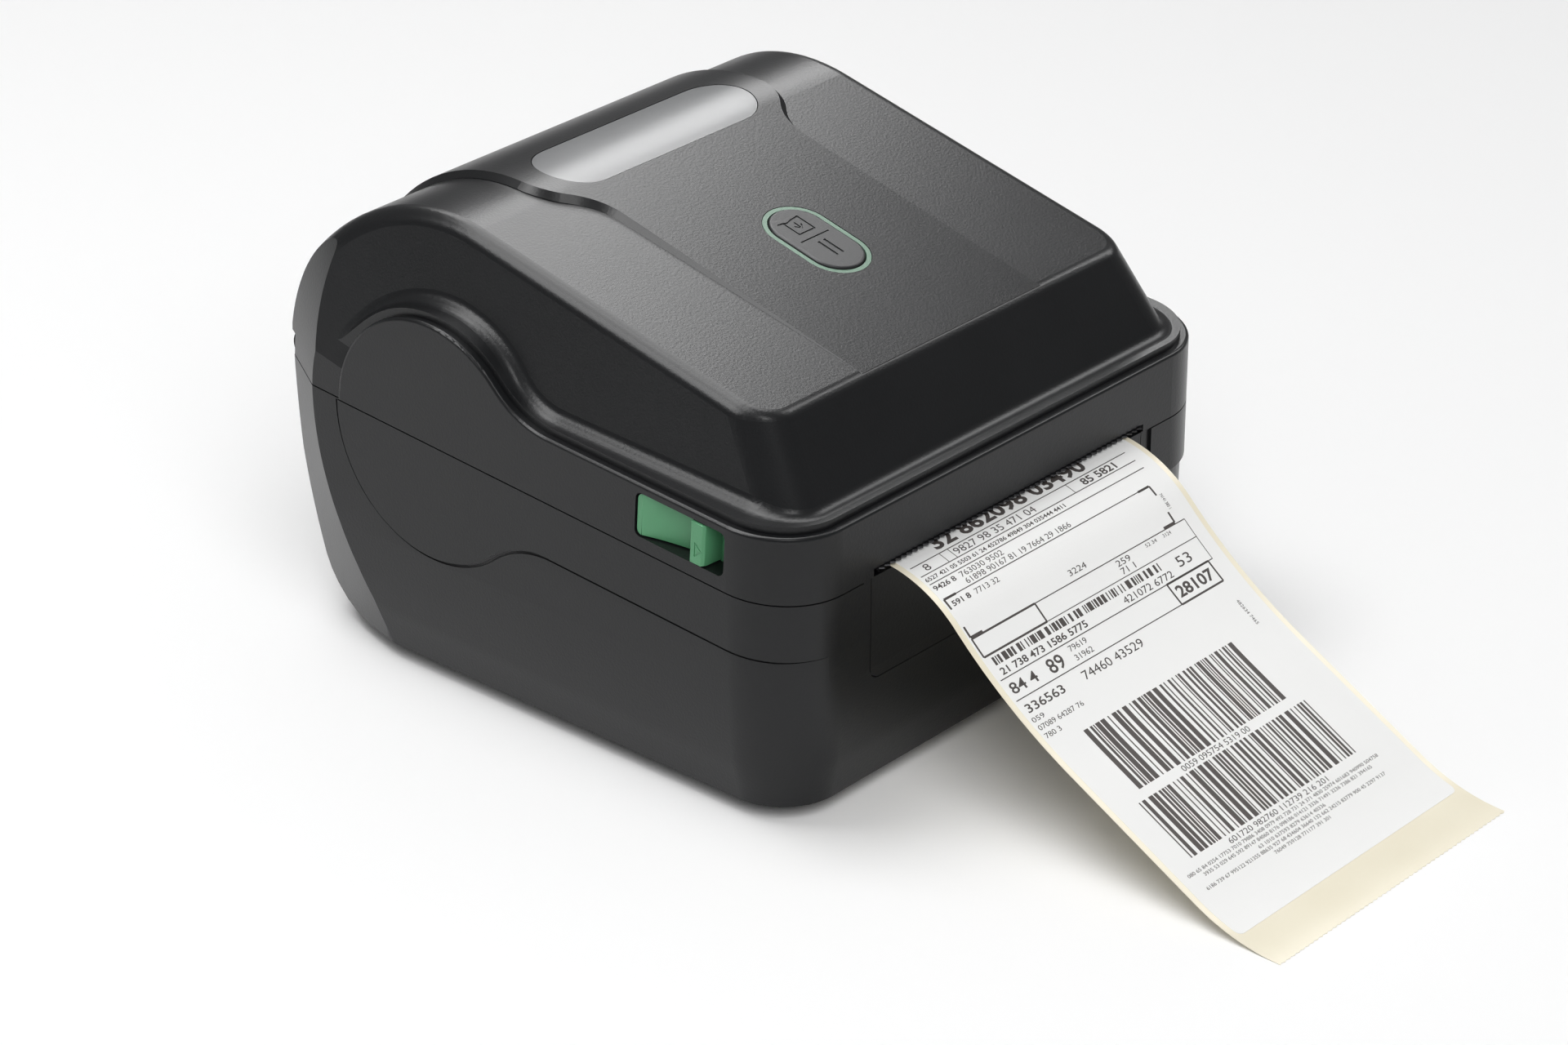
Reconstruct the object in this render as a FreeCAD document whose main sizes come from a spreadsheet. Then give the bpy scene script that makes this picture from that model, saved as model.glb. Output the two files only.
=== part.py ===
# Desktop thermal label printer. Millimetres; the ground is z = 0, the front faces -Y.
import FreeCAD
import Part
import math
import os
import re
from FreeCAD import Vector

doc = FreeCAD.newDocument("label_printer")

# Driving sizes, kept in a spreadsheet so that every piece below can be bound to them.
SIZES = {
    "case_width": 188,
    "case_depth": 204,
    "corner_round": 22,
    "wall": 2.5,
    "side_wall": 6.5,
    "foot_height": 5,
    "seam_front": 70,
    "seam_rise": 14,
    "seam_gap": 0.4,
    "belt_up": 20,
    "belt_down": 17,
    "belt_lip": 0.8,
    "step_in": 2.5,
    "step_up": 2.2,
    "ring_round": 36.5,
    "ring_blend": 30,
    "bevel_out": 11,
    "bevel_drop": 28.5,
    "bevel_angle": 28.5,
    "bevel_low_angle": 17,
    "roll_back": 70,
    "roll_z": 80,
    "roll_round": 52,
    "top_setback": 21.8,
    "top_front": 116.4,
    "top_inset": 15,
    "side_lean": 0.25,
    "front_rake": 32.5,
    "top_corner": 13,
    "rear_edge_round": 9,
    "edge_round": 5,
    "cove_round": 4.5,
    "rear_round": 60,
    "rear_lift": 2,
    "crown_lift": 2,
    "crown_half": 40,
    "crown_rear": 52,
    "skirt_height": 19,
    "slot_half": 59,
    "slot_lip": 2.6,
    "panel_drop": 32,
    "web_above": 1.4,
    "label_thick": 0.25,
    "liner_width": 104,
    "run_gap": 0.3,
    "curl_round": 40,
    "curl_dip": 45,
    "sag_round": 170,
    "sag_dip": 28,
    "rest_round": 60,
    "turn_round": 20,
    "turn_back": 40,
    "platen_back": 16,
    "platen_round": 7,
    "platen_half": 54,
    "shaft_round": 3,
    "bracket_x": 58.7,
    "bracket_thick": 1.5,
    "gear_module": 0.5,
    "platen_teeth": 30,
    "idler_teeth": 50,
    "pinion_teeth": 18,
    "gear_width": 5,
    "gear_backlash": 0.12,
    "idler_angle": -70,
    "motor_angle": -80,
    "motor_round": 16,
    "motor_length": 22,
    "core_round": 12.7,
    "core_wall": 2.3,
    "guide_thick": 4,
    "guide_travel": 10.5,
    "hub_length": 8,
    "rack_module": 1,
    "rack_teeth": 18,
    "tray_half": 70,
    "tray_floor": 18,
    "tray_wall": 2,
    "tray_front": 45,
    "tray_rear": 14,
    "rear_slot_drop": 13,
    "rear_slot_height": 8,
    "rear_slot_half": 58,
    "deck_drop": 3.6,
    "deck_thick": 2.4,
    "hinge_round": 5,
    "pin_round": 2,
    "knuckle_in": 46,
    "knuckle_out": 62,
    "fit_gap": 0.05,
    "button_long": 31.4,
    "button_wide": 17.4,
    "button_ahead": 62,
    "ring_wide": 1.4,
    "window_long": 84,
    "window_wide": 25,
    "window_shift": 3,
    "tab_front": 23.4,
    "tab_rear": 55.6,
    "tab_low": 4.2,
    "tab_high": 17.6,
    "tab_travel": 5,
    "foot_round": 7,
    "foot_side": 24,
    "foot_front": 24,
    "foot_rear": 44,
    "screw_side": 16,
    "screw_front": 40,
    "screw_rear": 36,
    "liner_plate": 97,
    "liner_thick": 2,
    "liner_screw_in": 4.7,
    "liner_screw_front": 26,
    "liner_screw_rear": 54,
    "port_drop": 30,
    "usb_x": 30,
    "jack_x": -5,
    "switch_side": 39,
}

sheet = doc.addObject("Spreadsheet::Sheet", "Sizes")
for row, name in enumerate(SIZES, start=1):
    sheet.set("A%d" % row, name)
    sheet.set("B%d" % row, str(SIZES[name]))
    sheet.setAlias("B%d" % row, name)
doc.recompute()


def num(name):
    return float(sheet.get(name))


# Places that follow from the sizes.
half_w = num("case_width") / 2
half_d = num("case_depth") / 2
reach = 2 * (num("case_depth") + num("case_width"))
roll_y = half_d - num("roll_back")
tab_y0 = -half_d + num("tab_front")
tab_y1 = -half_d + num("tab_rear")
tilt = math.atan(num("seam_rise") / num("case_depth"))


def seam(y):
    return num("seam_front") + (y + half_d) * math.tan(tilt)


def slope_point(along, above):
    """A point of the side view, by its distance along and above the seam."""
    y = -half_d + along * math.cos(tilt) - above * math.sin(tilt)
    z = num("seam_front") + along * math.sin(tilt) + above * math.cos(tilt)
    return Vector(0, y, z)


def across(wire, half):
    """The solid that a side-view outline makes when it is drawn across the width."""
    face = Part.Face(wire)
    face.translate(Vector(-half, 0, 0))
    return face.extrude(Vector(2 * half, 0, 0))


def round_rect(x0, x1, y0, y1, r, z):
    a = r * (1 - math.sqrt(0.5))
    edges = [
        Part.makeLine(Vector(x0 + r, y0, z), Vector(x1 - r, y0, z)),
        Part.Arc(Vector(x1 - r, y0, z), Vector(x1 - a, y0 + a, z), Vector(x1, y0 + r, z)).toShape(),
        Part.makeLine(Vector(x1, y0 + r, z), Vector(x1, y1 - r, z)),
        Part.Arc(Vector(x1, y1 - r, z), Vector(x1 - a, y1 - a, z), Vector(x1 - r, y1, z)).toShape(),
        Part.makeLine(Vector(x1 - r, y1, z), Vector(x0 + r, y1, z)),
        Part.Arc(Vector(x0 + r, y1, z), Vector(x0 + a, y1 - a, z), Vector(x0, y1 - r, z)).toShape(),
        Part.makeLine(Vector(x0, y1 - r, z), Vector(x0, y0 + r, z)),
        Part.Arc(Vector(x0, y0 + r, z), Vector(x0 + a, y0 + a, z), Vector(x0 + r, y0, z)).toShape(),
    ]
    return Part.Wire(edges)


def plan(inset):
    """The case's plan outline, set in by inset, as an upright prism."""
    r = max(num("corner_round") - inset, 1)
    low = -0.05 * num("case_depth")
    wire = round_rect(-half_w + inset, half_w - inset, -half_d + inset, half_d - inset, r, low)
    return Part.Face(wire).extrude(Vector(0, 0, 1.1 * num("case_depth")))


def comet(side, straight, ring, blend):
    """The belt as seen from the side: a straight band that swells into a ring."""
    c = Vector(0, roll_y, num("roll_z"))
    rel = c - slope_point(0, 0)
    along = rel.y * math.cos(tilt) + rel.z * math.sin(tilt)
    above = (rel.z * math.cos(tilt) - rel.y * math.sin(tilt)) * side
    drop = straight + blend - above
    k_along = along - math.sqrt((ring + blend) ** 2 - drop ** 2)
    k = slope_point(k_along, side * (straight + blend))
    foot = slope_point(k_along, side * straight)
    touch = c + (k - c) * (ring / (ring + blend))
    mid = k + ((foot - k) + (touch - k)).normalize() * blend
    past = ring / 4.5
    back = slope_point(along + math.sqrt(ring ** 2 - (past + above) ** 2), -past * side)
    crest = c + Vector(0, math.sin(0.35), side * math.cos(0.35)) * ring
    start = slope_point(-blend, side * straight)
    under = slope_point(-blend, -past * side)
    edges = [
        Part.makeLine(start, foot),
        Part.Arc(foot, mid, touch).toShape(),
        Part.Arc(touch, crest, back).toShape(),
        Part.makeLine(back, under),
        Part.makeLine(under, start),
    ]
    return across(Part.Wire(edges), 2 * half_w)


def relief(inset):
    """What is taken off behind the ring on both sides, sloping inwards to the back and the foot."""
    c = Vector(0, roll_y, num("roll_z"))

    def outline(x, ring, drop):
        top = c + Vector(0, 0, ring)
        low = c + Vector(0, 0, -drop)
        far = num("case_depth")
        diagonal = ring * math.sqrt(0.5)
        upper = Part.Arc(top, c + Vector(0, diagonal, diagonal), c + Vector(0, ring, 0))
        pole = Vector(0, c.y + ring, c.z - drop)
        lower = Part.BezierCurve()
        k = 0.5523
        p0 = c + Vector(0, ring, 0)
        p3 = low
        lower.setPoles([p0, p0 + (pole - p0) * k, p3 + (pole - p3) * k, p3])
        edges = [
            upper.toShape(),
            lower.toShape(),
            Part.makeLine(low, Vector(0, c.y, -far)),
            Part.makeLine(Vector(0, c.y, -far), Vector(0, far, -far)),
            Part.makeLine(Vector(0, far, -far), Vector(0, far, far)),
            Part.makeLine(Vector(0, far, far), Vector(0, c.y, far)),
            Part.makeLine(Vector(0, c.y, far), top),
        ]
        wire = Part.Wire(edges)
        wire.translate(Vector(x, 0, 0))
        return wire

    def ring_at(depth):
        fall = depth - num("belt_lip")
        back = num("bevel_out") + fall / math.tan(math.radians(num("bevel_angle")))
        down = num("bevel_drop") + fall / math.tan(math.radians(num("bevel_low_angle")))
        return outline(half_w - inset - depth, num("ring_round") + back, num("ring_round") + down)

    deep = ring_at(16)
    lip = ring_at(-4 - inset)
    right = Part.makeLoft([deep, lip], True, True)
    left = right.mirror(Vector(0, 0, 0), Vector(1, 0, 0))
    return [right, left]


def half_space(below, gap):
    """A block that fills everything below or above the seam, gap away from it."""
    near = gap * (-1 if below else 1)
    far = reach * (-1 if below else 1)
    pts = [slope_point(-reach, near), slope_point(reach, near)]
    pts += [slope_point(reach, far), slope_point(-reach, far)]
    return across(Part.makePolygon(pts + [pts[0]]), reach)


# Upper part of the lid: a slanted top that runs into a round back.
edge_y = -half_d + num("top_setback")
edge_z = num("top_front")
rear_z = num("roll_z") + num("rear_lift")
rear_y = half_d - 0.5 - num("rear_round") - num("crown_lift")


def top_angle(r):
    dy, dz = rear_y - edge_y, rear_z - edge_z
    return math.atan2(dz, dy) + math.asin(r / math.hypot(dy, dz))


def top_profile(r, inset):
    """Side view of the lid's top, as the solid below it."""
    a = top_angle(r)
    r_in = r - inset
    up = Vector(0, -math.sin(a), math.cos(a))
    run = Vector(0, math.cos(a), math.sin(a))
    centre = Vector(0, rear_y, rear_z)
    touch = centre + up * r_in
    front = touch - run * (touch.y + 1.5 * half_d) * (1 / math.cos(a))
    back = centre + Vector(0, r_in, 0)
    b = (math.pi / 2 + a) / 2
    mid = centre + Vector(0, r_in * math.cos(b), r_in * math.sin(b))
    edges = [
        Part.makeLine(front, touch),
        Part.Arc(touch, mid, back).toShape(),
        Part.makeLine(back, Vector(0, back.y, 0)),
        Part.makeLine(Vector(0, back.y, 0), Vector(0, front.y, 0)),
        Part.makeLine(Vector(0, front.y, 0), front),
    ]
    return across(Part.Wire(edges), 2 * half_w)


def frustum(low, high):
    """A block with four flat sloping sides, from its two rectangles (x half, y0, y1, z)."""
    rings = []
    for half, y0, y1, z in (low, high):
        rings.append([Vector(-half, y0, z), Vector(half, y0, z), Vector(half, y1, z), Vector(-half, y1, z)])
    faces = [rings[0][::-1], rings[1]]
    for i in range(4):
        j = (i + 1) % 4
        faces.append([rings[0][i], rings[0][j], rings[1][j], rings[1][i]])
    shell = Part.makeShell([Part.Face(Part.makePolygon(f + [f[0]])) for f in faces])
    return Part.makeSolid(shell)


def hood(inset):
    """The lid's sloping front and sides, as a tapered block square to its top."""
    a = top_angle(num("rear_round"))
    rake = math.tan(math.radians(num("front_rake")) + a)
    lean = num("side_lean")
    rings = []
    for depth in (0.7 * edge_z, -0.12 * edge_z):
        half = half_w - num("top_inset") + lean * depth - inset * math.hypot(1, lean)
        front = -rake * depth + inset * math.hypot(1, rake)
        rings.append((half, front, 2 * num("case_depth"), -depth))
    block = frustum(*rings)
    corners = [e for e in block.Edges if e.CenterOfMass.y < half_d / 2 and e.BoundBox.ZLength > edge_z / 6]
    block = block.makeFillet(max(num("top_corner") - inset, 1), corners)
    block.rotate(Vector(0, 0, 0), Vector(1, 0, 0), math.degrees(a))
    block.translate(Vector(0, edge_y, edge_z))
    return block


def middle(edge):
    return edge.valueAt((edge.FirstParameter + edge.LastParameter) / 2)


def keep(wanted, edges):
    return [edge for edge in edges if wanted(middle(edge))]


def on_face(shape, p):
    """Whether a point lies on a solid's surface."""
    return shape.Shells[0].distToShape(Part.Vertex(p))[0] < 0.01


def one(shape):
    return shape.Solids[0] if len(shape.Solids) == 1 else shape


def cylinder(axis, r, start, length, a, b):
    """A round bar along X, Y or Z, from start, at a and b on the other two axes."""
    if axis == "x":
        return Part.makeCylinder(r, length, Vector(start, a, b), Vector(1, 0, 0))
    if axis == "y":
        return Part.makeCylinder(r, length, Vector(a, start, b), Vector(0, 1, 0))
    return Part.makeCylinder(r, length, Vector(a, b, start), Vector(0, 0, 1))


def brick(x0, x1, y0, y1, z0, z1):
    return Part.makeBox(x1 - x0, y1 - y0, z1 - z0, Vector(x0, y0, z0))


def stadium(long_size, wide_size, upright, low, high):
    """A prism with two round ends, centred on the axis; upright means long along Y."""
    r = wide_size / 2
    k = long_size / 2 - r
    pts = [Vector(-k, -r, low), Vector(k, -r, low), Vector(k + r, 0, low)]
    pts += [Vector(k, r, low), Vector(-k, r, low), Vector(-k - r, 0, low)]
    edges = [
        Part.makeLine(pts[0], pts[1]),
        Part.Arc(pts[1], pts[2], pts[3]).toShape(),
        Part.makeLine(pts[3], pts[4]),
        Part.Arc(pts[4], pts[5], pts[0]).toShape(),
    ]
    solid = Part.Face(Part.Wire(edges)).extrude(Vector(0, 0, high - low))
    if upright:
        solid.rotate(Vector(0, 0, 0), Vector(0, 0, 1), 90)
    return solid


def growing_fillet(shape, rim, small, large):
    """Round a rim by the small radius, growing to the large one round the back corners."""
    block = doc.addObject("Part::Feature", "rim_block")
    block.Shape = shape
    rows = []
    for index, edge in enumerate(shape.Edges, 1):
        if not any(edge.isSame(other) for other in rim):
            continue
        first = edge.valueAt(edge.FirstParameter)
        last = edge.valueAt(edge.LastParameter)
        radii = []
        for point in (first, last):
            at_back = point.z < rear_z + 1 and point.y > 0 and abs(first.x - last.x) < half_w
            radii.append(large if at_back else small)
        rows.append((index, radii[0], radii[1]))
    rounding = doc.addObject("Part::Fillet", "rim_fillet")
    rounding.Base = block
    rounding.Edges = rows
    doc.recompute()
    solid = rounding.Shape.copy()
    doc.removeObject(rounding.Name)
    doc.removeObject(block.Name)
    return solid.Solids[0]


# Lid, outer form.
up = num("belt_up")
ring = num("ring_round")
blend = num("ring_blend")
rise = num("step_up")
sides = hood(0)
profile = top_profile(num("rear_round"), 0)
top = sides.common(profile).Solids[0]
top_rim = keep(lambda p: p.z > up and on_face(sides, p) and on_face(profile, p), top.Edges)
top = growing_fillet(top, top_rim, num("edge_round"), num("rear_edge_round"))
top = top.common(plan(num("belt_lip")))
belt = plan(0).common(comet(1, up, ring, blend))
belt_edges = keep(lambda p: p.z > seam(p.y) + 0.6 * up, belt.Edges)
belt_edges = [edge for edge in belt_edges if edge.BoundBox.XLength < 1.7 * half_w]
belt = belt.makeFillet(1, belt_edges)
step = plan(num("step_in")).common(comet(1, up + rise, ring + rise, blend - rise))
lid_form = belt.fuse([step, top]).cut(relief(0))
lid_form = lid_form.cut(half_space(True, -num("seam_gap") / 2)).removeSplitter().Solids[0]
inner_x = half_w - num("step_in") - 0.5
inner_y = -half_d + num("step_in") + 0.5


def in_cove(p):
    if abs(p.x) > inner_x or p.y < inner_y or p.z < num("seam_front") + 0.8 * up:
        return False
    spot = Part.Vertex(p)
    return step.distToShape(spot)[0] < 0.05 and top.distToShape(spot)[0] < 0.05


lid_form = lid_form.makeFillet(num("cove_round"), keep(in_cove, lid_form.Edges))

# Raised middle of the lid's top, narrow in front and wider behind.
crown_r = num("rear_round") + num("crown_lift")


def crown_outline(extra):
    n = num("crown_half") + extra
    w = num("crown_rear") + extra
    y0 = roll_y - 2 * (num("crown_rear") - num("crown_half"))
    y1 = roll_y + num("window_shift") + 1
    ym = (y0 + y1) / 2
    xm = (n + w) / 2
    far = 2 * half_d
    front = -2 * half_d

    def side(s):
        q = (w - n) / 2
        h = ym - y0
        r = (q * q + h * h) / (2 * q)
        a = math.asin(h / r) / 2
        c0 = Vector(s * (n + r), y0, 0)
        c1 = Vector(s * (w - r), y1, 0)
        m0 = c0 + Vector(-s * r * math.cos(a), r * math.sin(a), 0)
        m1 = c1 + Vector(s * r * math.cos(a), -r * math.sin(a), 0)
        pts = [Vector(s * n, front, 0), Vector(s * n, y0, 0), m0, Vector(s * xm, ym, 0)]
        return pts + [m1, Vector(s * w, y1, 0), Vector(s * w, far, 0)]

    right, left = side(1), side(-1)
    edges = []
    for p in (right, left):
        edges.append(Part.makeLine(p[0], p[1]))
        edges.append(Part.Arc(p[1], p[2], p[3]).toShape())
        edges.append(Part.Arc(p[3], p[4], p[5]).toShape())
        edges.append(Part.makeLine(p[5], p[6]))
    edges.append(Part.makeLine(right[0], left[0]))
    edges.append(Part.makeLine(right[6], left[6]))
    wire = Part.Wire(Part.__sortEdges__(edges))
    return Part.Face(wire).extrude(Vector(0, 0, reach))


crown = crown_outline(0).common(top_profile(crown_r, 0)).common(plan(0.5))
crown = crown.common(brick(-half_w, half_w, edge_y + 0.5, half_d + 1, seam(half_d), reach)).Solids[0]
rim = keep(lambda p: abs(p.x) > num("crown_half") - 1 and p.z > edge_z + 2, crown.Edges)
rim = [edge for edge in rim if edge.BoundBox.YLength > 1]
crown = crown.makeChamfer(0.9 * num("crown_lift"), rim)

# Hinge line along the back, level with the seam.
hinge_y = half_d - num("hinge_round")
hinge_z = seam(hinge_y) + 0.5
knuckle = (num("knuckle_in"), num("knuckle_out"))


def both(shape):
    """A shape and its mirror image on the other side of the case."""
    return [shape, shape.mirror(Vector(0, 0, 0), Vector(1, 0, 0))]


def on_crown(shape):
    """Moves a shape drawn flat at the top's front edge onto the slanted top."""
    shape.rotate(Vector(0, 0, 0), Vector(1, 0, 0), math.degrees(top_angle(crown_r)))
    shape.translate(Vector(0, edge_y, edge_z))
    return shape


def on_seam(shape):
    """Moves a shape drawn flat at the seam's front edge onto the slanted seam."""
    shape.rotate(Vector(0, 0, 0), Vector(1, 0, 0), math.degrees(tilt))
    shape.translate(Vector(0, -half_d, num("seam_front")))
    return shape


button_y = roll_y - num("button_ahead")
button_v = (button_y - edge_y) / math.cos(top_angle(crown_r))


def button_slab(grow, low, high):
    slab = stadium(num("button_long") + 2 * grow, num("button_wide") + 2 * grow, True, low, high)
    slab.translate(Vector(0, button_v, 0))
    return slab


def window_slab(grow):
    slab = stadium(num("window_long") + 2 * grow, num("window_wide") + 2 * grow, False, num("roll_z"), reach)
    slab.translate(Vector(0, roll_y + num("window_shift"), 0))
    return slab


tab_u0 = num("tab_front") / math.cos(tilt)
tab_u1 = num("tab_rear") / math.cos(tilt)
tab_in = half_w - num("side_wall")
tab_hole = brick(tab_in - 4, half_w + 4, tab_u0, tab_u1, num("tab_low"), num("tab_high"))
tab_hole = on_seam(tab_hole.makeFillet(2, [edge for edge in tab_hole.Edges if edge.BoundBox.XLength > 5]))

# Lid shell.
wall = num("wall")
hollow = hood(wall + 0.1).common(top_profile(num("rear_round"), wall)).common(plan(wall + 0.5))
hollow = hollow.common(brick(-tab_in, tab_in, -half_d + wall, half_d, 0, reach)).cut(relief(wall + 0.5))
belt_room = plan(wall).cut(half_space(False, up - wall))
belt_room = belt_room.common(brick(-tab_in, tab_in, -half_d, roll_y, 0, reach))
liner_z = num("liner_plate") + num("liner_thick")
liner_x = num("bracket_x") - num("liner_screw_in")
liner_ys = (-half_d + num("liner_screw_front"), -half_d + num("liner_screw_rear"))
card_x = num("button_wide") / 2 + 10.3
card_v = num("button_long") / 2 + 1.3
card_low = -10.6
posts = []
for x in (-liner_x, liner_x):
    for y in liner_ys:
        posts.append(cylinder("z", 4, liner_z, edge_z + (y - edge_y) * 0.2 - liner_z - 1, x, y))
for x in (-card_x, card_x):
    for v in (-card_v, card_v):
        posts.append(on_crown(cylinder("z", 3, card_low, 8, x, button_v + v)))
hinge_r = num("hinge_round")
play = 0.3
barrel = cylinder("x", hinge_r, knuckle[0] + play, knuckle[1] - knuckle[0] - 2 * play, hinge_y, hinge_z)
web = brick(knuckle[0] + play, knuckle[1] - play, hinge_y - 1, hinge_y + 3.5, hinge_z, hinge_z + 12)
lid = lid_form.fuse([crown])
web = web.common(lid)
lid = lid.cut([hollow, belt_room])
swing = hinge_r + 1.2
bevel_y = roll_y + ring + num("bevel_out")
swing_x = half_w - num("belt_lip") - (hinge_y - bevel_y) * math.tan(math.radians(num("bevel_angle"))) + 0.4
lid = lid.cut(cylinder("x", swing, -swing_x, 2 * swing_x, hinge_y, hinge_z))
lid = lid.cut(brick(-swing_x, swing_x, hinge_y, half_d + 5, 0, hinge_z + swing))
lid = lid.fuse(both(barrel) + both(web) + posts)
pin_hole = num("pin_round") + num("fit_gap")
lid = lid.cut(both(cylinder("x", pin_hole, knuckle[0] - 9, knuckle[1] - knuckle[0] + 18, hinge_y, hinge_z)))
slot_h = num("slot_half")
lip_z = num("seam_front") + num("slot_lip")
lid = lid.cut(brick(-slot_h, slot_h, -half_d - 1, -half_d + wall + 0.1, 0, lip_z))
lid = lid.cut(both(tab_hole))
lid = lid.cut(on_crown(button_slab(0.5 + num("ring_wide"), -30, 20)))
lid = lid.cut(window_slab(0).cut(top_profile(crown_r, 2.1)))
lid = lid.cut(window_slab(-2.5))
for x in (-liner_x, liner_x):
    for y in liner_ys:
        lid = lid.cut(cylinder("z", 1.25, liner_z - 1, 9, x, y))
lid = lid.removeSplitter()

# Base, outer form and hollow.


def skirt(rows):
    wires = []
    for z, side, front, rear, r in rows:
        wires.append(round_rect(-half_w + side, half_w - side, -half_d + front, half_d - rear, r, z))
    return Part.makeLoft(wires, True, True)


lip = num("belt_lip")
foot = num("foot_height")
belt_z = num("seam_front") - num("belt_down") + 1
sk = num("skirt_height")
cr = num("corner_round")
above = seam(half_d) + 26
rows = [(above, lip, lip, 0, cr), (belt_z, lip, lip, 3, cr)]
for share in (0.35, 0.7, 1):
    z = belt_z + (sk - belt_z) * share
    bow = share ** 2
    rows.append((z, lip + 2.4 * bow, lip + 1.7 * bow, 3 + 5 * share, cr - share))
for share in (0.3, 0.55, 0.8, 1):
    z = sk + (foot - sk) * share
    turn = 1 - math.sqrt(1 - (0.9 * share) ** 2)
    rear = 8 + 3 * share + 20 * turn
    rows.append((z, 3.2 + 2.8 * share, 2.5 + 2.5 * share, rear, cr - 1 - 3 * share))
base_form = skirt(rows)
band = plan(0).common(comet(-1, num("belt_down"), ring, blend))
band = band.cut(brick(-slot_h - 4, slot_h + 4, -half_d - 1, -half_d + 2, 0, reach))
base_form = base_form.fuse(band).cut(relief(0))
base_form = base_form.cut(half_space(False, -num("seam_gap") / 2)).removeSplitter()
sw = num("side_wall")
cavity = skirt([
    (above, sw, lip + 2.2, wall, cr - 4),
    (belt_z, sw, lip + 2.2, wall + 3, cr - 4),
    (sk, sw, wall + 2.5, wall + 8, cr - 5),
    (foot + wall, sw + 2, wall + 5, wall + 20, cr - 8),
]).cut(relief(wall + 0.5))
seam_f = num("seam_front")
panel_low = seam_f - num("panel_drop")


def panel_block(gap):
    side = slot_h + gap
    b = brick(-side, side, -half_d - 2, -half_d + 6, panel_low - gap, seam_f + 5)
    return b.makeFillet(4, keep(lambda p: p.z < panel_low + 1 and abs(p.y + half_d - 2) < 1, b.Edges))


tray_y0 = -half_d + num("tray_front")
tray_y1 = half_d - num("tray_rear")
rear_z1 = seam(half_d) - num("rear_slot_drop")
rear_z0 = rear_z1 - num("rear_slot_height")
rear_half = num("rear_slot_half")
rear_slot = brick(-rear_half, rear_half, tray_y1 - 6, half_d + 5, rear_z0, rear_z1)
usb_x = num("usb_x")
jack_x = num("jack_x")
switch_x = -half_w + num("switch_side")
port_z = seam_f - num("port_drop")
inside_y = half_d - 24
back_y = half_d - 3 - (belt_z - port_z) * 5 / (belt_z - sk)
base = base_form.cut(cavity)
screw_spots = []
for x in (-half_w + num("screw_side"), half_w - num("screw_side")):
    for y in (-half_d + num("screw_front"), half_d - num("screw_rear")):
        screw_spots.append((x, y))
pillars = [cylinder("z", 5, foot + 0.5, 4, x, y) for x, y in screw_spots]
for x in (-40, 50):
    for y in (roll_y - 46, roll_y + 18):
        pillars.append(cylinder("z", 3, foot + wall - 0.5, 3.5, x, y))
bars = [cylinder("x", hinge_r, -knuckle[0], 2 * knuckle[0], hinge_y, hinge_z)]
bars += both(cylinder("x", hinge_r, knuckle[1], half_w - 15 - knuckle[1], hinge_y, hinge_z))
notch = knuckle[1] - knuckle[0] + 2 * play
base = base.cut(both(cylinder("x", hinge_r + 2 * play, knuckle[0] - play, notch, hinge_y, hinge_z)))
base = base.fuse(pillars + bars)
base = base.cut(both(cylinder("x", num("pin_round") + 0.02, knuckle[0] - 6, notch + 11.4, hinge_y, hinge_z)))
base = base.cut([panel_block(0.25), rear_slot])
base = base.cut(brick(usb_x - 6.1, usb_x + 6.1, inside_y, half_d + 5, port_z - 5.6, port_z + 5.6))
base = base.cut(cylinder("y", 5.6, inside_y, 30, jack_x, port_z))
base = base.cut(brick(switch_x - 10.6, switch_x + 10.6, inside_y, half_d + 5, port_z - 7.1, port_z + 7.1))
for x, y in screw_spots:
    base = base.cut([cylinder("z", 1.7, 0, 30, x, y), cylinder("z", 3.4, 0, foot + 2, x, y)])
base = base.removeSplitter()
panel_room = brick(-half_w, half_w, -half_d - 5, -half_d + lip + 2.4, 0, seam_f - 0.3)
panel = base_form.common(panel_block(0)).common(panel_room)

# Every finished piece is a document object; its label is the name of its file.
nodes = []


def finish(obj, name):
    obj.Label = name
    nodes.append(obj)
    return obj


def solid(name, shape):
    obj = doc.addObject("Part::Feature", name)
    obj.Shape = one(shape)
    return finish(obj, name)


def bound(text):
    """Turns the names of sizes in a formula into references to the sheet."""
    return re.sub(r"[a-z_]+", lambda m: "Sizes." + m.group() if m.group() in SIZES else m.group(), str(text))


def block(name, x0, x1, y0, y1, z0, z1):
    obj = doc.addObject("Part::Box", name)
    for side, a, b in (("Length", x0, x1), ("Width", y0, y1), ("Height", z0, z1)):
        obj.setExpression(side, bound("(%s) - (%s)" % (b, a)))
    for axis, a in (("x", x0), ("y", y0), ("z", z0)):
        obj.setExpression("Placement.Base." + axis, bound(a))
    return obj


TURN = {"x": (Vector(0, 1, 0), 90), "y": (Vector(1, 0, 0), -90), "z": (Vector(0, 0, 1), 0)}


def rod(name, axis, radius, start, end, a, b):
    obj = doc.addObject("Part::Cylinder", name)
    obj.Placement = FreeCAD.Placement(Vector(0, 0, 0), FreeCAD.Rotation(*TURN[axis]))
    obj.setExpression("Radius", bound(radius))
    obj.setExpression("Height", bound("(%s) - (%s)" % (end, start)))
    spots = {"x": (start, a, b), "y": (a, start, b), "z": (a, b, start)}[axis]
    for letter, value in zip("xyz", spots):
        obj.setExpression("Placement.Base." + letter, bound(value))
    return obj


def join(name, *parts):
    obj = doc.addObject("Part::MultiFuse", name)
    obj.Shapes = list(parts)
    return obj


def less(name, base, *tools):
    obj = doc.addObject("Part::Cut", name)
    obj.Base = base
    obj.Tool = tools[0] if len(tools) == 1 else join(name + "_tools", *tools)
    return obj


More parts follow.
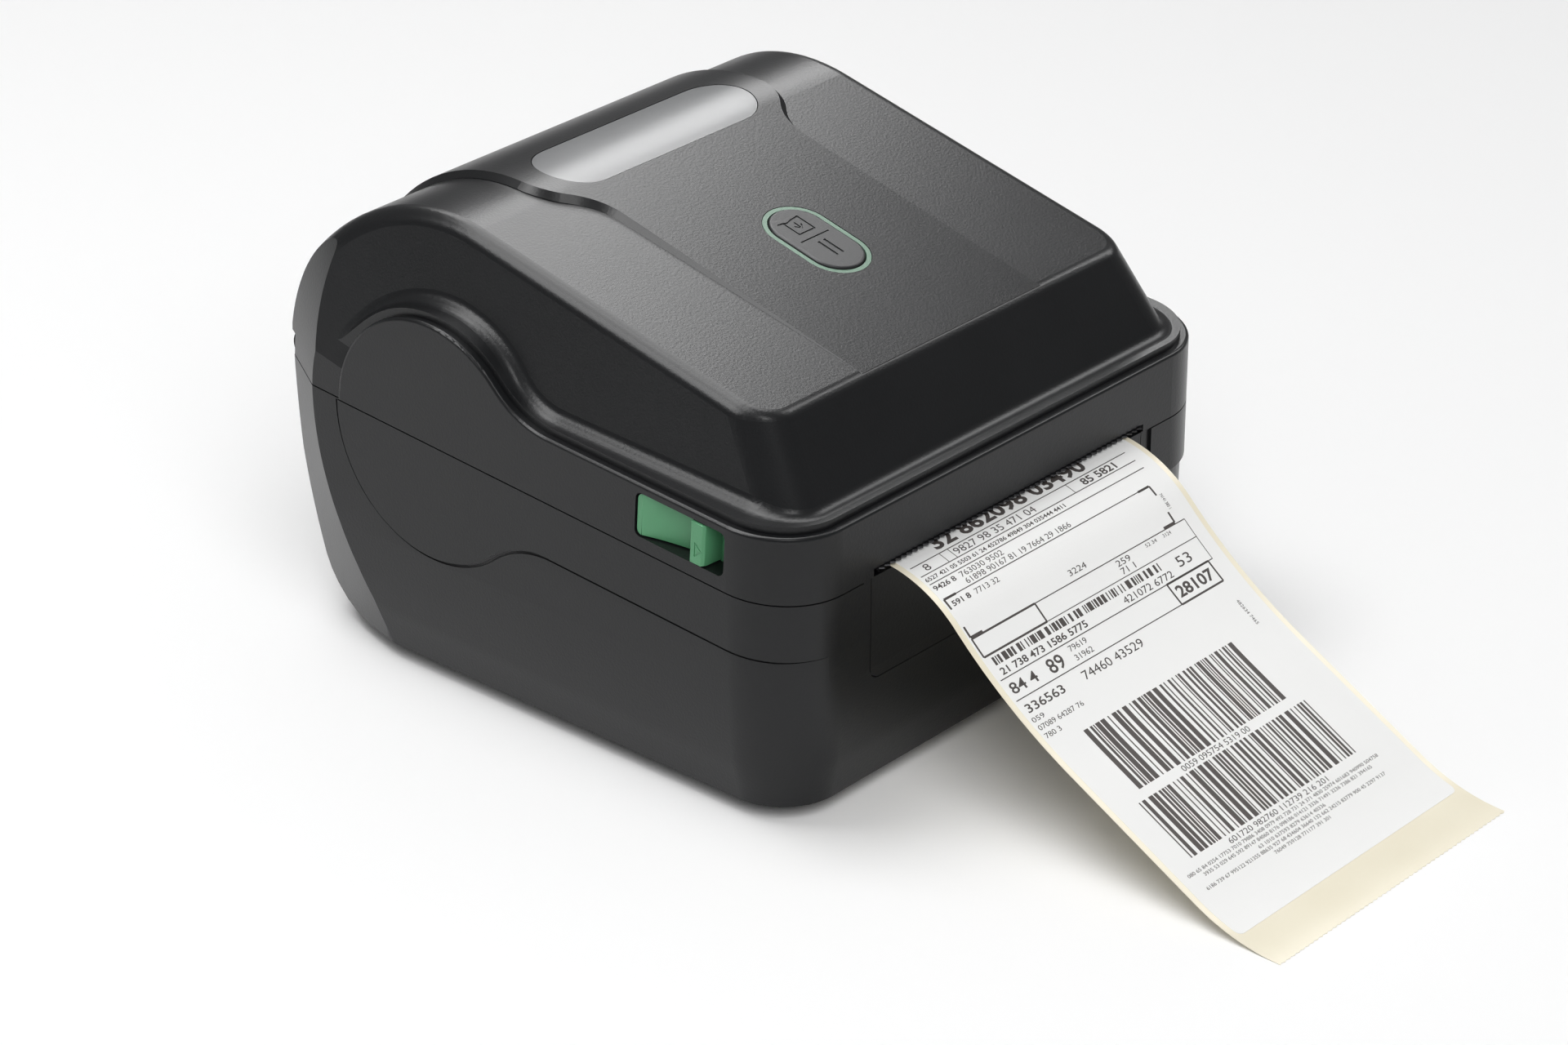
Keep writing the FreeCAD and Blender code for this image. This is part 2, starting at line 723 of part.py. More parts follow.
def group(name, *parts):
    obj = doc.addObject("Part::Compound", name)
    obj.Links = list(parts)
    return obj


solid("lid_shell", lid)
solid("base_shell", base)
solid("front_panel", panel)

# Formulas used by several pieces.
FRONT = "(-case_depth / 2)"
RY = "(case_depth / 2 - roll_back)"
TY = "(-case_depth / 2 + turn_back)"
TR = "(-case_depth / 2 + tab_rear)"
PY = "(-case_depth / 2 + platen_back)"
WEB = "(seam_front + web_above)"
PZ = "(seam_front + web_above - label_thick / 2 - run_gap - platen_round)"
FLOOR = "(foot_height + wall)"
BX0 = "bracket_x"
BX1 = "(bracket_x + bracket_thick)"
GX0 = "(-bracket_x - bracket_thick - 2.3 - gear_width)"
GX1 = "(-bracket_x - bracket_thick - 2.3)"
IY = "(%s + gear_module * (platen_teeth + idler_teeth) / 2 * cos(idler_angle))" % PY
IZ = "(%s + gear_module * (platen_teeth + idler_teeth) / 2 * sin(idler_angle))" % PZ
MY = "(%s + gear_module * (idler_teeth + pinion_teeth) / 2 * cos(motor_angle))" % IY
MZ = "(%s + gear_module * (idler_teeth + pinion_teeth) / 2 * sin(motor_angle))" % IZ

# The same places as numbers, for the pieces drawn in code.
platen_y = -half_d + num("platen_back")
web_z = seam_f + num("web_above")
platen_z = web_z - num("label_thick") / 2 - num("run_gap") - num("platen_round")
modul = num("gear_module")
arm_i = modul * (num("platen_teeth") + num("idler_teeth")) / 2
arm_m = modul * (num("idler_teeth") + num("pinion_teeth")) / 2
ang_i = math.radians(num("idler_angle"))
ang_m = math.radians(num("motor_angle"))
idler_y = platen_y + arm_i * math.cos(ang_i)
idler_z = platen_z + arm_i * math.sin(ang_i)
motor_y = idler_y + arm_m * math.cos(ang_m)
motor_z = idler_z + arm_m * math.sin(ang_m)
gear_x0 = -num("bracket_x") - num("bracket_thick") - 2.3 - num("gear_width")

# Media tray: a tub for the roll and a deck that follows the seam.
th = num("tray_half")
tw = num("tray_wall")
fl = num("tray_floor")


def tub(grow):
    """Side view of the tub, grown outwards by grow."""
    run, climb = 22, 40
    ramp = grow * math.hypot(run, climb) / climb
    top_z = seam(half_d) + climb
    pts = [(tray_y0 - grow, top_z), (tray_y0 - grow, fl - grow)]
    pts += [(tray_y1 - run + ramp - grow * run / climb, fl - grow)]
    pts += [(tray_y1 + grow, fl + climb + (grow - ramp) * climb / run), (tray_y1 + grow, top_z)]
    wire = Part.makePolygon([Vector(0, y, z) for y, z in pts + [pts[0]]])
    return across(wire, th + grow)


deck_top = num("deck_drop")
deck = cavity.common(half_space(True, deck_top)).cut(half_space(True, deck_top + num("deck_thick")))
deck_room = brick(-tab_in + play, tab_in - play, -half_d + 4, hinge_y - hinge_r - 1.5, 0, reach)
deck = plan(sw + play).common(deck).common(deck_room)
tray = tub(tw).common(half_space(True, deck_top)).fuse(deck).cut(tub(0))
bx = num("bracket_x")
tray = tray.cut(brick(-bx - 12, bx + 6.5, platen_y - 9.5, platen_y + 24, 0, reach))
tray = tray.cut(both(brick(tab_in - 6, tab_in + 1, tab_y0 + 8, tab_y1 - 1, seam_f - 30, reach)))
leg_z = foot + 4.6
tray = tray.fuse([cylinder("z", 4, leg_z, seam(y) - deck_top - 1.5 - leg_z, x, y) for x, y in screw_spots])
for x, y in screw_spots:
    tray = tray.cut(cylinder("z", 1.55, foot + 4, 14, x, y))
tray = tray.cut(rear_slot)
solid("media_tray", tray.removeSplitter())

# Feet and screws under the case.
feet = [rod("foot_mid", "z", "foot_round", "0", "foot_height", "0", "0")]
shafts = []
for i, x in enumerate(("-case_width / 2 + foot_side", "case_width / 2 - foot_side")):
    for j, y in enumerate((FRONT + " + foot_front", "case_depth / 2 - foot_rear")):
        feet.append(rod("foot_%d%d" % (i, j), "z", "foot_round", "0", "foot_height", x, y))
finish(group("rubber_feet", *feet), "rubber_feet")
for i, x in enumerate(("-case_width / 2 + screw_side", "case_width / 2 - screw_side")):
    for j, y in enumerate((FRONT + " + screw_front", "case_depth / 2 - screw_rear")):
        head = rod("screw_head_%d%d" % (i, j), "z", "3", "foot_height + 0.4", "foot_height + 2", x, y)
        stem = rod("screw_stem_%d%d" % (i, j), "z", "1.5", "foot_height + 1.5", "foot_height + 16", x, y)
        slot = rod("screw_slot_%d%d" % (i, j), "z", "1.2", "foot_height", "foot_height + 1.4", x, y)
        shafts.append(less("screw_%d%d" % (i, j), join("screw_blank_%d%d" % (i, j), head, stem), slot))
finish(group("case_screws", *shafts), "case_screws")

# Boards and sockets.
CARD = "(foot_height + wall + 4.6)"
board = block("board_plate", "-50", "58", RY + " - 54", RY + " + 26", CARD + " - 1.6", CARD)
chip_1 = block("board_chip_1", "-10", "4", RY + " - 26", RY + " - 12", CARD, CARD + " + 1.8")
chip_2 = block("board_chip_2", "18", "28", RY + " - 22", RY + " - 12", CARD, CARD + " + 1.4")
plug_1 = block("board_plug_1", "36", "52", RY + " - 52", RY + " - 45", CARD, CARD + " + 3.4")
plug_2 = block("board_plug_2", "-46", "-20", RY + " - 52", RY + " - 46", CARD, CARD + " + 3.4")
finish(join("main_board", board, chip_1, chip_2, plug_1, plug_2), "main_board")
usb = brick(usb_x - 6, usb_x + 6, back_y - 13, back_y - 0.6, port_z - 5.5, port_z + 5.5)
usb = usb.fuse(brick(usb_x - 9, usb_x + 9, back_y - 5.5, back_y - 4, port_z - 7.5, port_z + 7.5))
usb = usb.cut(brick(usb_x - 4.2, usb_x + 4.2, back_y - 10, half_d + 5, port_z - 4, port_z + 4))
usb = usb.fuse(brick(usb_x - 1.5, usb_x + 1.5, back_y - 11, back_y - 2.5, port_z - 4.5, port_z - 2.2))
solid("usb_port", usb)
jack = cylinder("y", 5.5, back_y - 13, 12.4, jack_x, port_z)
jack = jack.fuse(cylinder("y", 7.5, back_y - 5.5, 1.5, jack_x, port_z))
jack = jack.cut(cylinder("y", 3.2, back_y - 11, 20, jack_x, port_z))
jack = jack.fuse(cylinder("y", 1, back_y - 12, 10, jack_x, port_z))
solid("power_jack", jack)
box = brick(switch_x - 10.5, switch_x + 10.5, back_y - 11, back_y + 1.4, port_z - 7, port_z + 7)
box = box.fuse(brick(switch_x - 12, switch_x + 12, back_y + 1.4, back_y + 2.4, port_z - 8.5, port_z + 8.5))
box = box.cut(brick(switch_x - 8.5, switch_x + 8.5, back_y - 8, half_d + 5, port_z - 5.6, port_z + 5.6))
rocker_y = back_y - 2
trunnion = 1.2
box = box.cut(cylinder("z", trunnion + num("fit_gap"), port_z - 6.6, 13.2, switch_x, rocker_y))
solid("switch_housing", box)
rocker_pts = [(-7.4, 2.9), (0, 1.2), (7.4, 0.6), (7.4, -2.5), (2, -5.5), (-2, -5.5), (-7.4, -2.5)]
rocker_wire = Part.makePolygon([Vector(switch_x + a, back_y + b, 0) for a, b in rocker_pts + rocker_pts[:1]])
rocker = Part.Face(rocker_wire).extrude(Vector(0, 0, 10.6))
rocker.translate(Vector(0, 0, port_z - 5.3))
rocker = rocker.fuse(cylinder("z", trunnion, port_z - 6.5, 13, switch_x, rocker_y))
solid("power_rocker", rocker)

# Print drive: two steel brackets, the platen, its gears and the motor.
plate = block("drive_plate", "-%s" % BX1, "-%s" % BX0, PY + " - 7", PY + " + 23", FLOOR, PZ + " + 6.3")
SOLE = FLOOR + " + bracket_thick"
toe = block("drive_toe", "-%s" % BX0, "-%s + 12" % BX0, PY + " - 5", PY + " + 22", FLOOR, SOLE)
hole_1 = rod("drive_hole_1", "x", "5.02", "-70", "-50", PY, PZ)
hole_2 = rod("drive_hole_2", "x", "6.1", "-70", "-50", MY, MZ)
hole_3 = rod("drive_hole_3", "x", "2.02", "-70", "-50", IY, IZ)
finish(less("drive_bracket", join("drive_blank", plate, toe), hole_1, hole_2, hole_3), "drive_bracket")
plate = block("end_plate", BX0, BX1, PY + " - 7", PY + " + 13", FLOOR, PZ + " + 6.3")
toe = block("end_toe", "%s - 12" % BX0, BX0, PY + " - 5", PY + " + 12", FLOOR, SOLE)
hole_1 = rod("end_hole", "x", "5.02", "50", "70", PY, PZ)
finish(less("end_bracket", join("end_blank", plate, toe), hole_1), "end_bracket")
bushes = []
for tag, sgn in (("left", -1), ("right", 1)):
    x = [BX0 + " - 1.4", BX0, BX1 + " + 0.8"]
    if sgn < 0:
        x = ["-(%s)" % t for t in x][::-1]
        collar = rod("bush_collar_" + tag, "x", "6.2", x[1], x[2], PY, PZ)
    else:
        collar = rod("bush_collar_" + tag, "x", "6.2", x[0], x[1], PY, PZ)
    sleeve = rod("bush_sleeve_" + tag, "x", "5", x[0], x[2], PY, PZ)
    bore = rod("bush_bore_" + tag, "x", "shaft_round + fit_gap", "(%s) - 1" % x[0], "(%s) + 1" % x[2], PY, PZ)
    bushes.append(less("bush_" + tag, join("bush_blank_" + tag, sleeve, collar), bore))
finish(group("platen_bushes", *bushes), "platen_bushes")
can = rod("motor_can", "x", "motor_round", "-bracket_x + 1", "-bracket_x + 1 + motor_length", MY, MZ)
flange_y = (MY + " - 14", MY + " + 14")
flange_z = (MZ + " - 18", MZ + " + 18")
flange = block("motor_flange", "-bracket_x", "-bracket_x + 1", *flange_y, *flange_z)
boss = rod("motor_boss", "x", "6", "-%s - 0.5" % BX1, "-bracket_x + 1", MY, MZ)
bore = rod("motor_bore", "x", "1.5 + fit_gap", "-70", "-bracket_x + 8", MY, MZ)
finish(less("drive_motor", join("motor_blank", can, flange, boss), bore), "drive_motor")
stud = rod("stud_stem", "x", "2", GX0 + " - 0.6", "-bracket_x", IY, IZ)
head = rod("stud_head", "x", "3.5", GX0 + " - 1.8", GX0 + " - 0.6", IY, IZ)
seat = rod("stud_seat", "x", "3.5", GX1 + " + 0.3", "-%s" % BX1, IY, IZ)
finish(join("idler_stud", stud, head, seat), "idler_stud")


def gear_face(teeth, m, phase):
    """Outline of a spur gear in the YZ plane, each flank an arc through three points of its involute."""
    r = m * teeth / 2
    base_r = r * math.cos(math.radians(20))
    tip = r + m
    root = r - 1.25 * m
    half = (math.pi * m / 2 - num("gear_backlash")) / 2 / r
    inv = math.tan(math.radians(20)) - math.radians(20)

    def flank(radius):
        a = math.acos(min(base_r / radius, 1))
        return half + inv - (math.tan(a) - a)

    def at(radius, angle):
        return Vector(0, radius * math.cos(angle), radius * math.sin(angle))

    start = max(base_r, root) * 1.0005
    mid = (start + tip) / 2
    pitch = 2 * math.pi / teeth
    edges = []
    for i in range(int(teeth)):
        c = phase + i * pitch
        low = [at(root, c - flank(start)), at(start, c - flank(start))]
        high = [at(start, c + flank(start)), at(root, c + flank(start))]
        nxt = at(root, c + pitch - flank(start))
        edges.append(Part.makeLine(low[0], low[1]))
        edges.append(Part.Arc(low[1], at(mid, c - flank(mid)), at(tip, c - flank(tip))).toShape())
        edges.append(Part.Arc(at(tip, c - flank(tip)), at(tip, c), at(tip, c + flank(tip))).toShape())
        edges.append(Part.Arc(at(tip, c + flank(tip)), at(mid, c + flank(mid)), high[0]).toShape())
        edges.append(Part.makeLine(high[0], high[1]))
        edges.append(Part.Arc(high[1], at(root, c + pitch / 2), nxt).toShape())
    return Part.Face(Part.Wire(edges))


def meshed(phase, r_from, r_to, m, angle):
    """Phase of the gear that meshes with one of a known phase, in the direction angle from it."""
    return angle + math.pi - (r_from * (phase - angle) + math.pi * m / 2) / r_to


n_p, n_i, n_m = num("platen_teeth"), num("idler_teeth"), num("pinion_teeth")
phase_p = ang_i
phase_i = meshed(phase_p, n_p, n_i, 2, ang_i)
phase_m = meshed(phase_i, n_i, n_m, 2, ang_m)
width = Vector(num("gear_width"), 0, 0)
gear = gear_face(n_p, modul, phase_p).extrude(width)
gear.translate(Vector(gear_x0, platen_y, platen_z))
solid("platen_gear", gear.cut(cylinder("x", num("shaft_round"), -100, 100, platen_y, platen_z)))
gear = gear_face(n_i, modul, phase_i).extrude(width)
gear.translate(Vector(gear_x0, idler_y, idler_z))
solid("idler_gear", gear.cut(cylinder("x", 2 + num("fit_gap"), -100, 100, idler_y, idler_z)))
gear = gear_face(n_m, modul, phase_m).extrude(width)
gear.translate(Vector(gear_x0, motor_y, motor_z))
shaft_end = -num("bracket_x") + 7
solid("motor_pinion", gear.fuse(cylinder("x", 1.5, gear_x0 - 1, shaft_end - gear_x0 + 1, motor_y, motor_z)))
shaft = rod("shaft_bar", "x", "shaft_round", GX0 + " - 1", "%s + 4" % BX1, PY, PZ)
finish(shaft, "platen_shaft")
tire = rod("rubber_sleeve", "x", "platen_round", "-platen_half", "platen_half", PY, PZ)
bore = rod("rubber_bore", "x", "shaft_round", "-platen_half - 1", "platen_half + 1", PY, PZ)
finish(less("platen_rubber", tire, bore), "platen_rubber")
pin_y = "(case_depth / 2 - hinge_round)"
pin_z = "(seam_front + seam_rise * (case_depth - hinge_round) / case_depth + 0.5)"
pins = [rod("hinge_pin_right", "x", "pin_round", "knuckle_in - 5", "knuckle_out + 5", pin_y, pin_z)]
pins.append(rod("hinge_pin_left", "x", "pin_round", "-knuckle_out - 5", "-knuckle_in + 5", pin_y, pin_z))
finish(group("hinge_pins", *pins), "hinge_pins")

# Label roll on its core, and the two guides that hold it from the sides.


def roll_rod(name, radius, half):
    return rod(name, "x", radius, "-(%s)" % half, half, RY, "roll_z")


core_outer = roll_rod("core_outer", "core_round + core_wall", "liner_width / 2")
finish(less("core_tube", core_outer, roll_rod("core_inner", "core_round", "liner_width")), "roll_core")
roll_outer = roll_rod("roll_outer", "roll_round", "liner_width / 2")
roll_inner = roll_rod("roll_inner", "core_round + core_wall", "liner_width")
finish(less("roll_body", roll_outer, roll_inner), "label_roll")
ry, rz = roll_y, num("roll_z")
rack_m = num("rack_module")
rack_r = rack_m * num("rack_teeth") / 2
gx = num("liner_width") / 2 + 0.5
gt = num("guide_thick")
pitch = math.pi * rack_m
rack_z0, rack_z1 = fl + 0.4, fl + 4.2


def rack(shift, length):
    """A rack along X, its teeth facing +Y with their pitch line at y = 0 and a tooth at x = shift."""
    half = (pitch / 2 - num("gear_backlash")) / 2
    lean = math.tan(math.radians(20))
    count = int(length / pitch / 2)
    pts = [Vector(-(count + 0.5) * pitch + shift, -5.5, 0)]
    pts.append(Vector(-(count + 0.5) * pitch + shift, -1.25 * rack_m, 0))
    for i in range(-count, count + 1):
        c = i * pitch + shift
        pts.append(Vector(c - half - 1.25 * rack_m * lean, -1.25 * rack_m, 0))
        pts.append(Vector(c - half + rack_m * lean, rack_m, 0))
        pts.append(Vector(c + half - rack_m * lean, rack_m, 0))
        pts.append(Vector(c + half + 1.25 * rack_m * lean, -1.25 * rack_m, 0))
    pts.append(Vector((count + 0.5) * pitch + shift, -1.25 * rack_m, 0))
    pts.append(Vector((count + 0.5) * pitch + shift, -5.5, 0))
    return Part.Face(Part.makePolygon(pts + [pts[0]])).extrude(Vector(0, 0, rack_z1 - rack_z0))


def guide():
    """The guide on the -X side; the other is the same piece turned half round."""
    disc = cylinder("x", 26, -gx - gt, gt, ry, rz)
    leg = brick(-gx - gt, -gx, ry - 14, ry + 14, fl + 0.4, rz)
    shoe = brick(-gx - gt - 1.5, -gx, ry - 18, ry + 18, fl + 0.4, fl + 4.2)
    hub = cylinder("x", num("core_round") - 0.4, -gx, num("hub_length"), ry, rz)
    hub = hub.makeChamfer(1.5, [edge for edge in hub.Edges if edge.CenterOfMass.x > -gx + 1 and edge.Closed])
    pull = brick(-gx - gt - 1.5, -gx, ry - 8, ry + 8, rz + 24, rz + 30)
    bar = rack(pitch / 2, 34)
    bar.translate(Vector(0, ry - rack_r, rack_z0))
    tail = brick(-gx - 0.5, -16, ry - rack_r - 5.5, ry - rack_r - 1.4, rack_z0, rack_z1)
    return disc.fuse([leg, shoe, hub, pull, bar, tail]).removeSplitter()


left_guide = guide()
right_guide = left_guide.copy()
right_guide.rotate(Vector(0, ry, 0), Vector(0, 0, 1), 180)
solid("guide_left", left_guide)
solid("guide_right", right_guide)
wheel = gear_face(num("rack_teeth"), rack_m, 0)
wheel.rotate(Vector(0, 0, 0), Vector(0, 1, 0), -90)
wheel = wheel.extrude(Vector(0, 0, rack_z1 - rack_z0))
wheel.translate(Vector(0, ry, rack_z0))
solid("guide_pinion", wheel.cut(cylinder("z", 2.5 + num("fit_gap"), 0, 100, 0, ry)))
finish(rod("axle_stub", "z", "2.5", "tray_floor", "tray_floor + 4.5", "0", RY), "guide_axle")
RR = "(rack_module * rack_teeth / 2)"
cover_x = ("-liner_width / 2 + 3", "liner_width / 2 - 3")
cover_y = (RY + " - %s - 8" % RR, RY + " + %s + 8" % RR)
lidlet = block("cover_top", *cover_x, *cover_y, "tray_floor + 4.5", "tray_floor + 6")
leg_1 = block("cover_leg_1", *cover_x, cover_y[0], cover_y[0] + " + 1.5", "tray_floor", "tray_floor + 4.5")
leg_2 = block("cover_leg_2", *cover_x, cover_y[1] + " - 1.5", cover_y[1], "tray_floor", "tray_floor + 4.5")
finish(join("rack_cover", lidlet, leg_1, leg_2), "rack_cover")
sensor_z = "(seam_front + seam_rise * (turn_back + 4.5) / case_depth - deck_drop + 0.3)"
sensor_y = (TY + " + 0.5", TY + " + 4.5")
finish(block("sensor_body", "-9", "9", *sensor_y, sensor_z, WEB + " - 0.6"), "media_sensor")
catches = []
for tag, a, b in (("left", "-case_width / 2 + side_wall", "-case_width / 2 + side_wall + 4"),
                  ("right", "case_width / 2 - side_wall - 4", "case_width / 2 - side_wall")):
    catch_y = (TR + " - 7.3", TR + " - 1.5")
    catches.append(block("catch_" + tag, a, b, *catch_y, "seam_front - 12", "seam_front - 4"))
finish(group("latch_catches", *catches), "latch_catches")

# The label strip: off the roll, under the guide bar, over the platen and out to the ground.
t = num("label_thick")
run = num("run_gap") + t / 2
turn_y = -half_d + num("turn_back")


def strip():
    """The strip as a thin band along its path of straight runs and tangent arcs."""
    bend = num("turn_round")
    c1 = Vector(0, turn_y, web_z + bend)
    c2 = Vector(0, ry, rz)
    d = c2 - c1
    big = num("roll_round") + run
    climb = math.atan2(d.z, d.y) + math.asin((bend + big) / d.Length)
    p0 = c2 + Vector(0, -math.sin(climb), math.cos(climb)) * big
    p1 = c1 + Vector(0, math.sin(climb), -math.cos(climb)) * bend
    n0 = Vector(0, -math.sin(climb), math.cos(climb))
    flat = Vector(0, 0, 1)
    curl = num("curl_round")
    y_curl = -half_d + 5.6
    dip = math.radians(num("curl_dip"))
    sag = math.radians(num("sag_dip"))

    def normal(a):
        return Vector(0, -math.sin(a), math.cos(a))

    p2 = Vector(0, turn_y, web_z)
    p3 = Vector(0, y_curl, web_z)
    c3 = p3 - flat * curl
    p4 = c3 + normal(dip) * curl
    big_sag = num("sag_round")
    c4 = p4 + normal(dip) * big_sag
    p5 = c4 - normal(sag) * big_sag
    rest = num("rest_round")
    end_z = t / 2 + 0.02
    drop = p5.z - end_z - rest * (1 - math.cos(sag))
    p6 = p5 + Vector(0, -1, -math.tan(sag)) * (drop / math.tan(sag))
    c5 = p6 + normal(sag) * rest
    p7 = c5 - flat * rest
    legs = [("line", p0, p1, n0, n0)]
    legs.append(("arc", p1, p2, n0, flat, (n0 + flat).normalize(), c1, -bend))
    legs.append(("line", p2, p3, flat, flat))
    legs.append(("arc", p3, p4, flat, normal(dip), normal(dip / 2), c3, curl))
    legs.append(("arc", p4, p5, normal(dip), normal(sag), normal((dip + sag) / 2), c4, -big_sag))
    legs.append(("line", p5, p6, normal(sag), normal(sag)))
    legs.append(("arc", p6, p7, normal(sag), flat, normal(sag / 2), c5, -rest))

    def side(offset):
        edges = []
        for leg in legs:
            a = leg[1] + leg[3] * offset
            b = leg[2] + leg[4] * offset
            if leg[0] == "line":
                edges.append(Part.makeLine(a, b))
            else:
                edges.append(Part.Arc(a, leg[6] + leg[5] * (leg[7] + offset), b).toShape())
        return edges

    lower, upper = side(-t / 2), side(t / 2)
    first = Part.makeLine(p0 - n0 * (t / 2), p0 + n0 * (t / 2))
    last = Part.makeLine(p7 - flat * (t / 2), p7 + flat * (t / 2))
    return across(Part.Wire(Part.__sortEdges__(lower + upper + [first, last])), num("liner_width") / 2)


solid("label_strip", strip())

# Pieces carried by the lid.
lens = window_slab(-0.3).common(top_profile(crown_r, 0.1)).cut(top_profile(crown_r, 2))
solid("view_window", lens)
rim = button_slab(0.3 + num("ring_wide"), -5, -0.1).cut(button_slab(0.3, -20, 20))
solid("light_ring", on_crown(rim))
cap = button_slab(0, -6, 0.5)
cap = cap.makeFillet(0.8, keep(lambda p: p.z > 0.4, cap.Edges))
cap = cap.fuse(cylinder("z", 3, -9, 3.5, 0, button_v))
solid("feed_button", on_crown(cap))
card_half = (card_x + 5, card_v + 5)
card = brick(-card_half[0], card_half[0], -card_half[1], card_half[1], card_low - 1.6, card_low)
card.translate(Vector(0, button_v, 0))
card = card.fuse(brick(-3, 3, button_v - 3, button_v + 3, card_low, card_low + 0.7))
solid("button_board", on_crown(card))
tooth = 1.2
count = int(num("slot_half") * 2 / tooth) - 1
pts = [Vector(count * tooth / 2, 0, lip_z + 6), Vector(-count * tooth / 2, 0, lip_z + 6)]
for i in range(count):
    pts.append(Vector(-count * tooth / 2 + i * tooth, 0, lip_z + 0.1))
    pts.append(Vector(-count * tooth / 2 + (i + 0.5) * tooth, 0, lip_z - 0.65))
pts.append(Vector(count * tooth / 2, 0, lip_z + 0.1))
saw = Part.Face(Part.makePolygon(pts + [pts[0]])).extrude(Vector(0, 1.2, 0))
saw.translate(Vector(0, -half_d + wall, 0))
solid("tear_bar", saw)
LP = "liner_plate"
PLATE_X = "(case_width / 2 - top_inset - 3)"
LINER_TOP = "(liner_plate + liner_thick)"
sheet_top = block("liner_sheet", "-" + PLATE_X, PLATE_X, FRONT + " + 18", TR + " + 4", LP, LINER_TOP)
cheeks = []
for tag, a, b in (("left", "-bracket_x - 6", "-bracket_x - 3"), ("right", "bracket_x + 3", "bracket_x + 6")):
    cheeks.append(block("cheek_" + tag, a, b, PY + " + 4", TR + " + 2", WEB + " + 4.6", LP))
pivot_y = PY + " + 16"
pivot_z = WEB + " + 17.6"
tools = [rod("liner_hole", "x", "2.02", "-90", "90", pivot_y, pivot_z)]
rise_y = ry - turn_y
rise_z = rz - web_z - num("turn_round")
lap = (num("turn_round") + num("roll_round") + run) / math.hypot(rise_z, rise_y)
turn_mid = (math.atan2(rise_z, rise_y) + math.asin(lap)) / 2
bar_r = 6.0
bar_c = num("turn_round") - run - bar_r
bar_y = turn_y + bar_c * math.sin(turn_mid)
bar_z = web_z + num("turn_round") - bar_c * math.cos(turn_mid)
LINER_X = "(bracket_x - liner_screw_in)"
liner_spots = []
for i, x in enumerate(("-" + LINER_X, LINER_X)):
    for j, y in enumerate((FRONT + " + liner_screw_front", FRONT + " + liner_screw_rear")):
        liner_spots.append(("%d%d" % (i, j), x, y))
for tag, x, y in liner_spots:
    tools.append(rod("liner_screw_hole_" + tag, "z", "1.7", LP + " - 1", LINER_TOP + " + 1", x, y))
finish(less("lid_liner", join("liner_blank", sheet_top, *cheeks), *tools), "lid_liner")
solid("web_guide_bar", cylinder("x", bar_r, -num("bracket_x") - 3, 2 * num("bracket_x") + 6, bar_y, bar_z))
screws = []
for tag, x, y in liner_spots:
    stem = rod("liner_stem_" + tag, "z", "1.2", LP + " - 0.5", LINER_TOP + " + 7", x, y)
    head = rod("liner_head_" + tag, "z", "2.8", LP + " - 2", LP, x, y)
    screws.append(join("liner_screw_" + tag, stem, head))
finish(group("liner_screws", *screws), "liner_screws")
finish(rod("pivot_bar", "x", "2", "-bracket_x - 6", "bracket_x + 6", pivot_y, pivot_z), "head_pivot_pin")
HZ = "(seam_front + web_above + label_thick / 2 + run_gap)"
head_x = ("-liner_width / 2 - 3", "liner_width / 2 + 3")
finish(block("head_slab", *head_x, PY + " - 5", PY + " + 6", HZ, HZ + " + 3"), "print_head")
sink_x = ("-liner_width / 2 - 4", "liner_width / 2 + 4")
sink = block("sink_body", *sink_x, PY + " - 7", PY + " + 13", HZ + " + 3", HZ + " + 11")
fins = []
for i in range(4):
    gap_y = (PY + " + %g" % (-4.5 + 4 * i), PY + " + %g" % (-2.5 + 4 * i))
    fins.append(block("sink_gap_%d" % i, "-liner_width", "liner_width", *gap_y, HZ + " + 6", HZ + " + 9"))
finish(less("heat_sink", sink, *fins), "heat_sink")
strap_z = (HZ + " + 11", HZ + " + 12.5")
strap = block("head_strap", "-bracket_x - 1", "bracket_x + 1", PY + " - 5", PY + " + 20", *strap_z)
ears = []
ear_y = (PY + " + 11", PY + " + 20")
ear_sides = (("left", "-bracket_x - 1", "-bracket_x + 0.5"), ("right", "bracket_x - 0.5", "bracket_x + 1"))
for tag, a, b in ear_sides:
    ears.append(block("head_ear_" + tag, a, b, *ear_y, strap_z[1], pivot_z + " + 4.5"))
bore = rod("head_bore", "x", "2 + fit_gap", "-90", "90", pivot_y, pivot_z)
finish(less("head_bracket", join("head_blank", strap, *ears), bore), "head_bracket")
coils = []
for tag, x in (("left", "-35"), ("right", "35")):
    outer = rod("coil_outer_" + tag, "z", "4", HZ + " + 12.6", LP + " - 0.1", x, PY + " + 5")
    inner = rod("coil_inner_" + tag, "z", "2.8", HZ + " + 10", LP + " + 2", x, PY + " + 5")
    coils.append(less("coil_" + tag, outer, inner))
finish(group("head_springs", *coils), "head_springs")


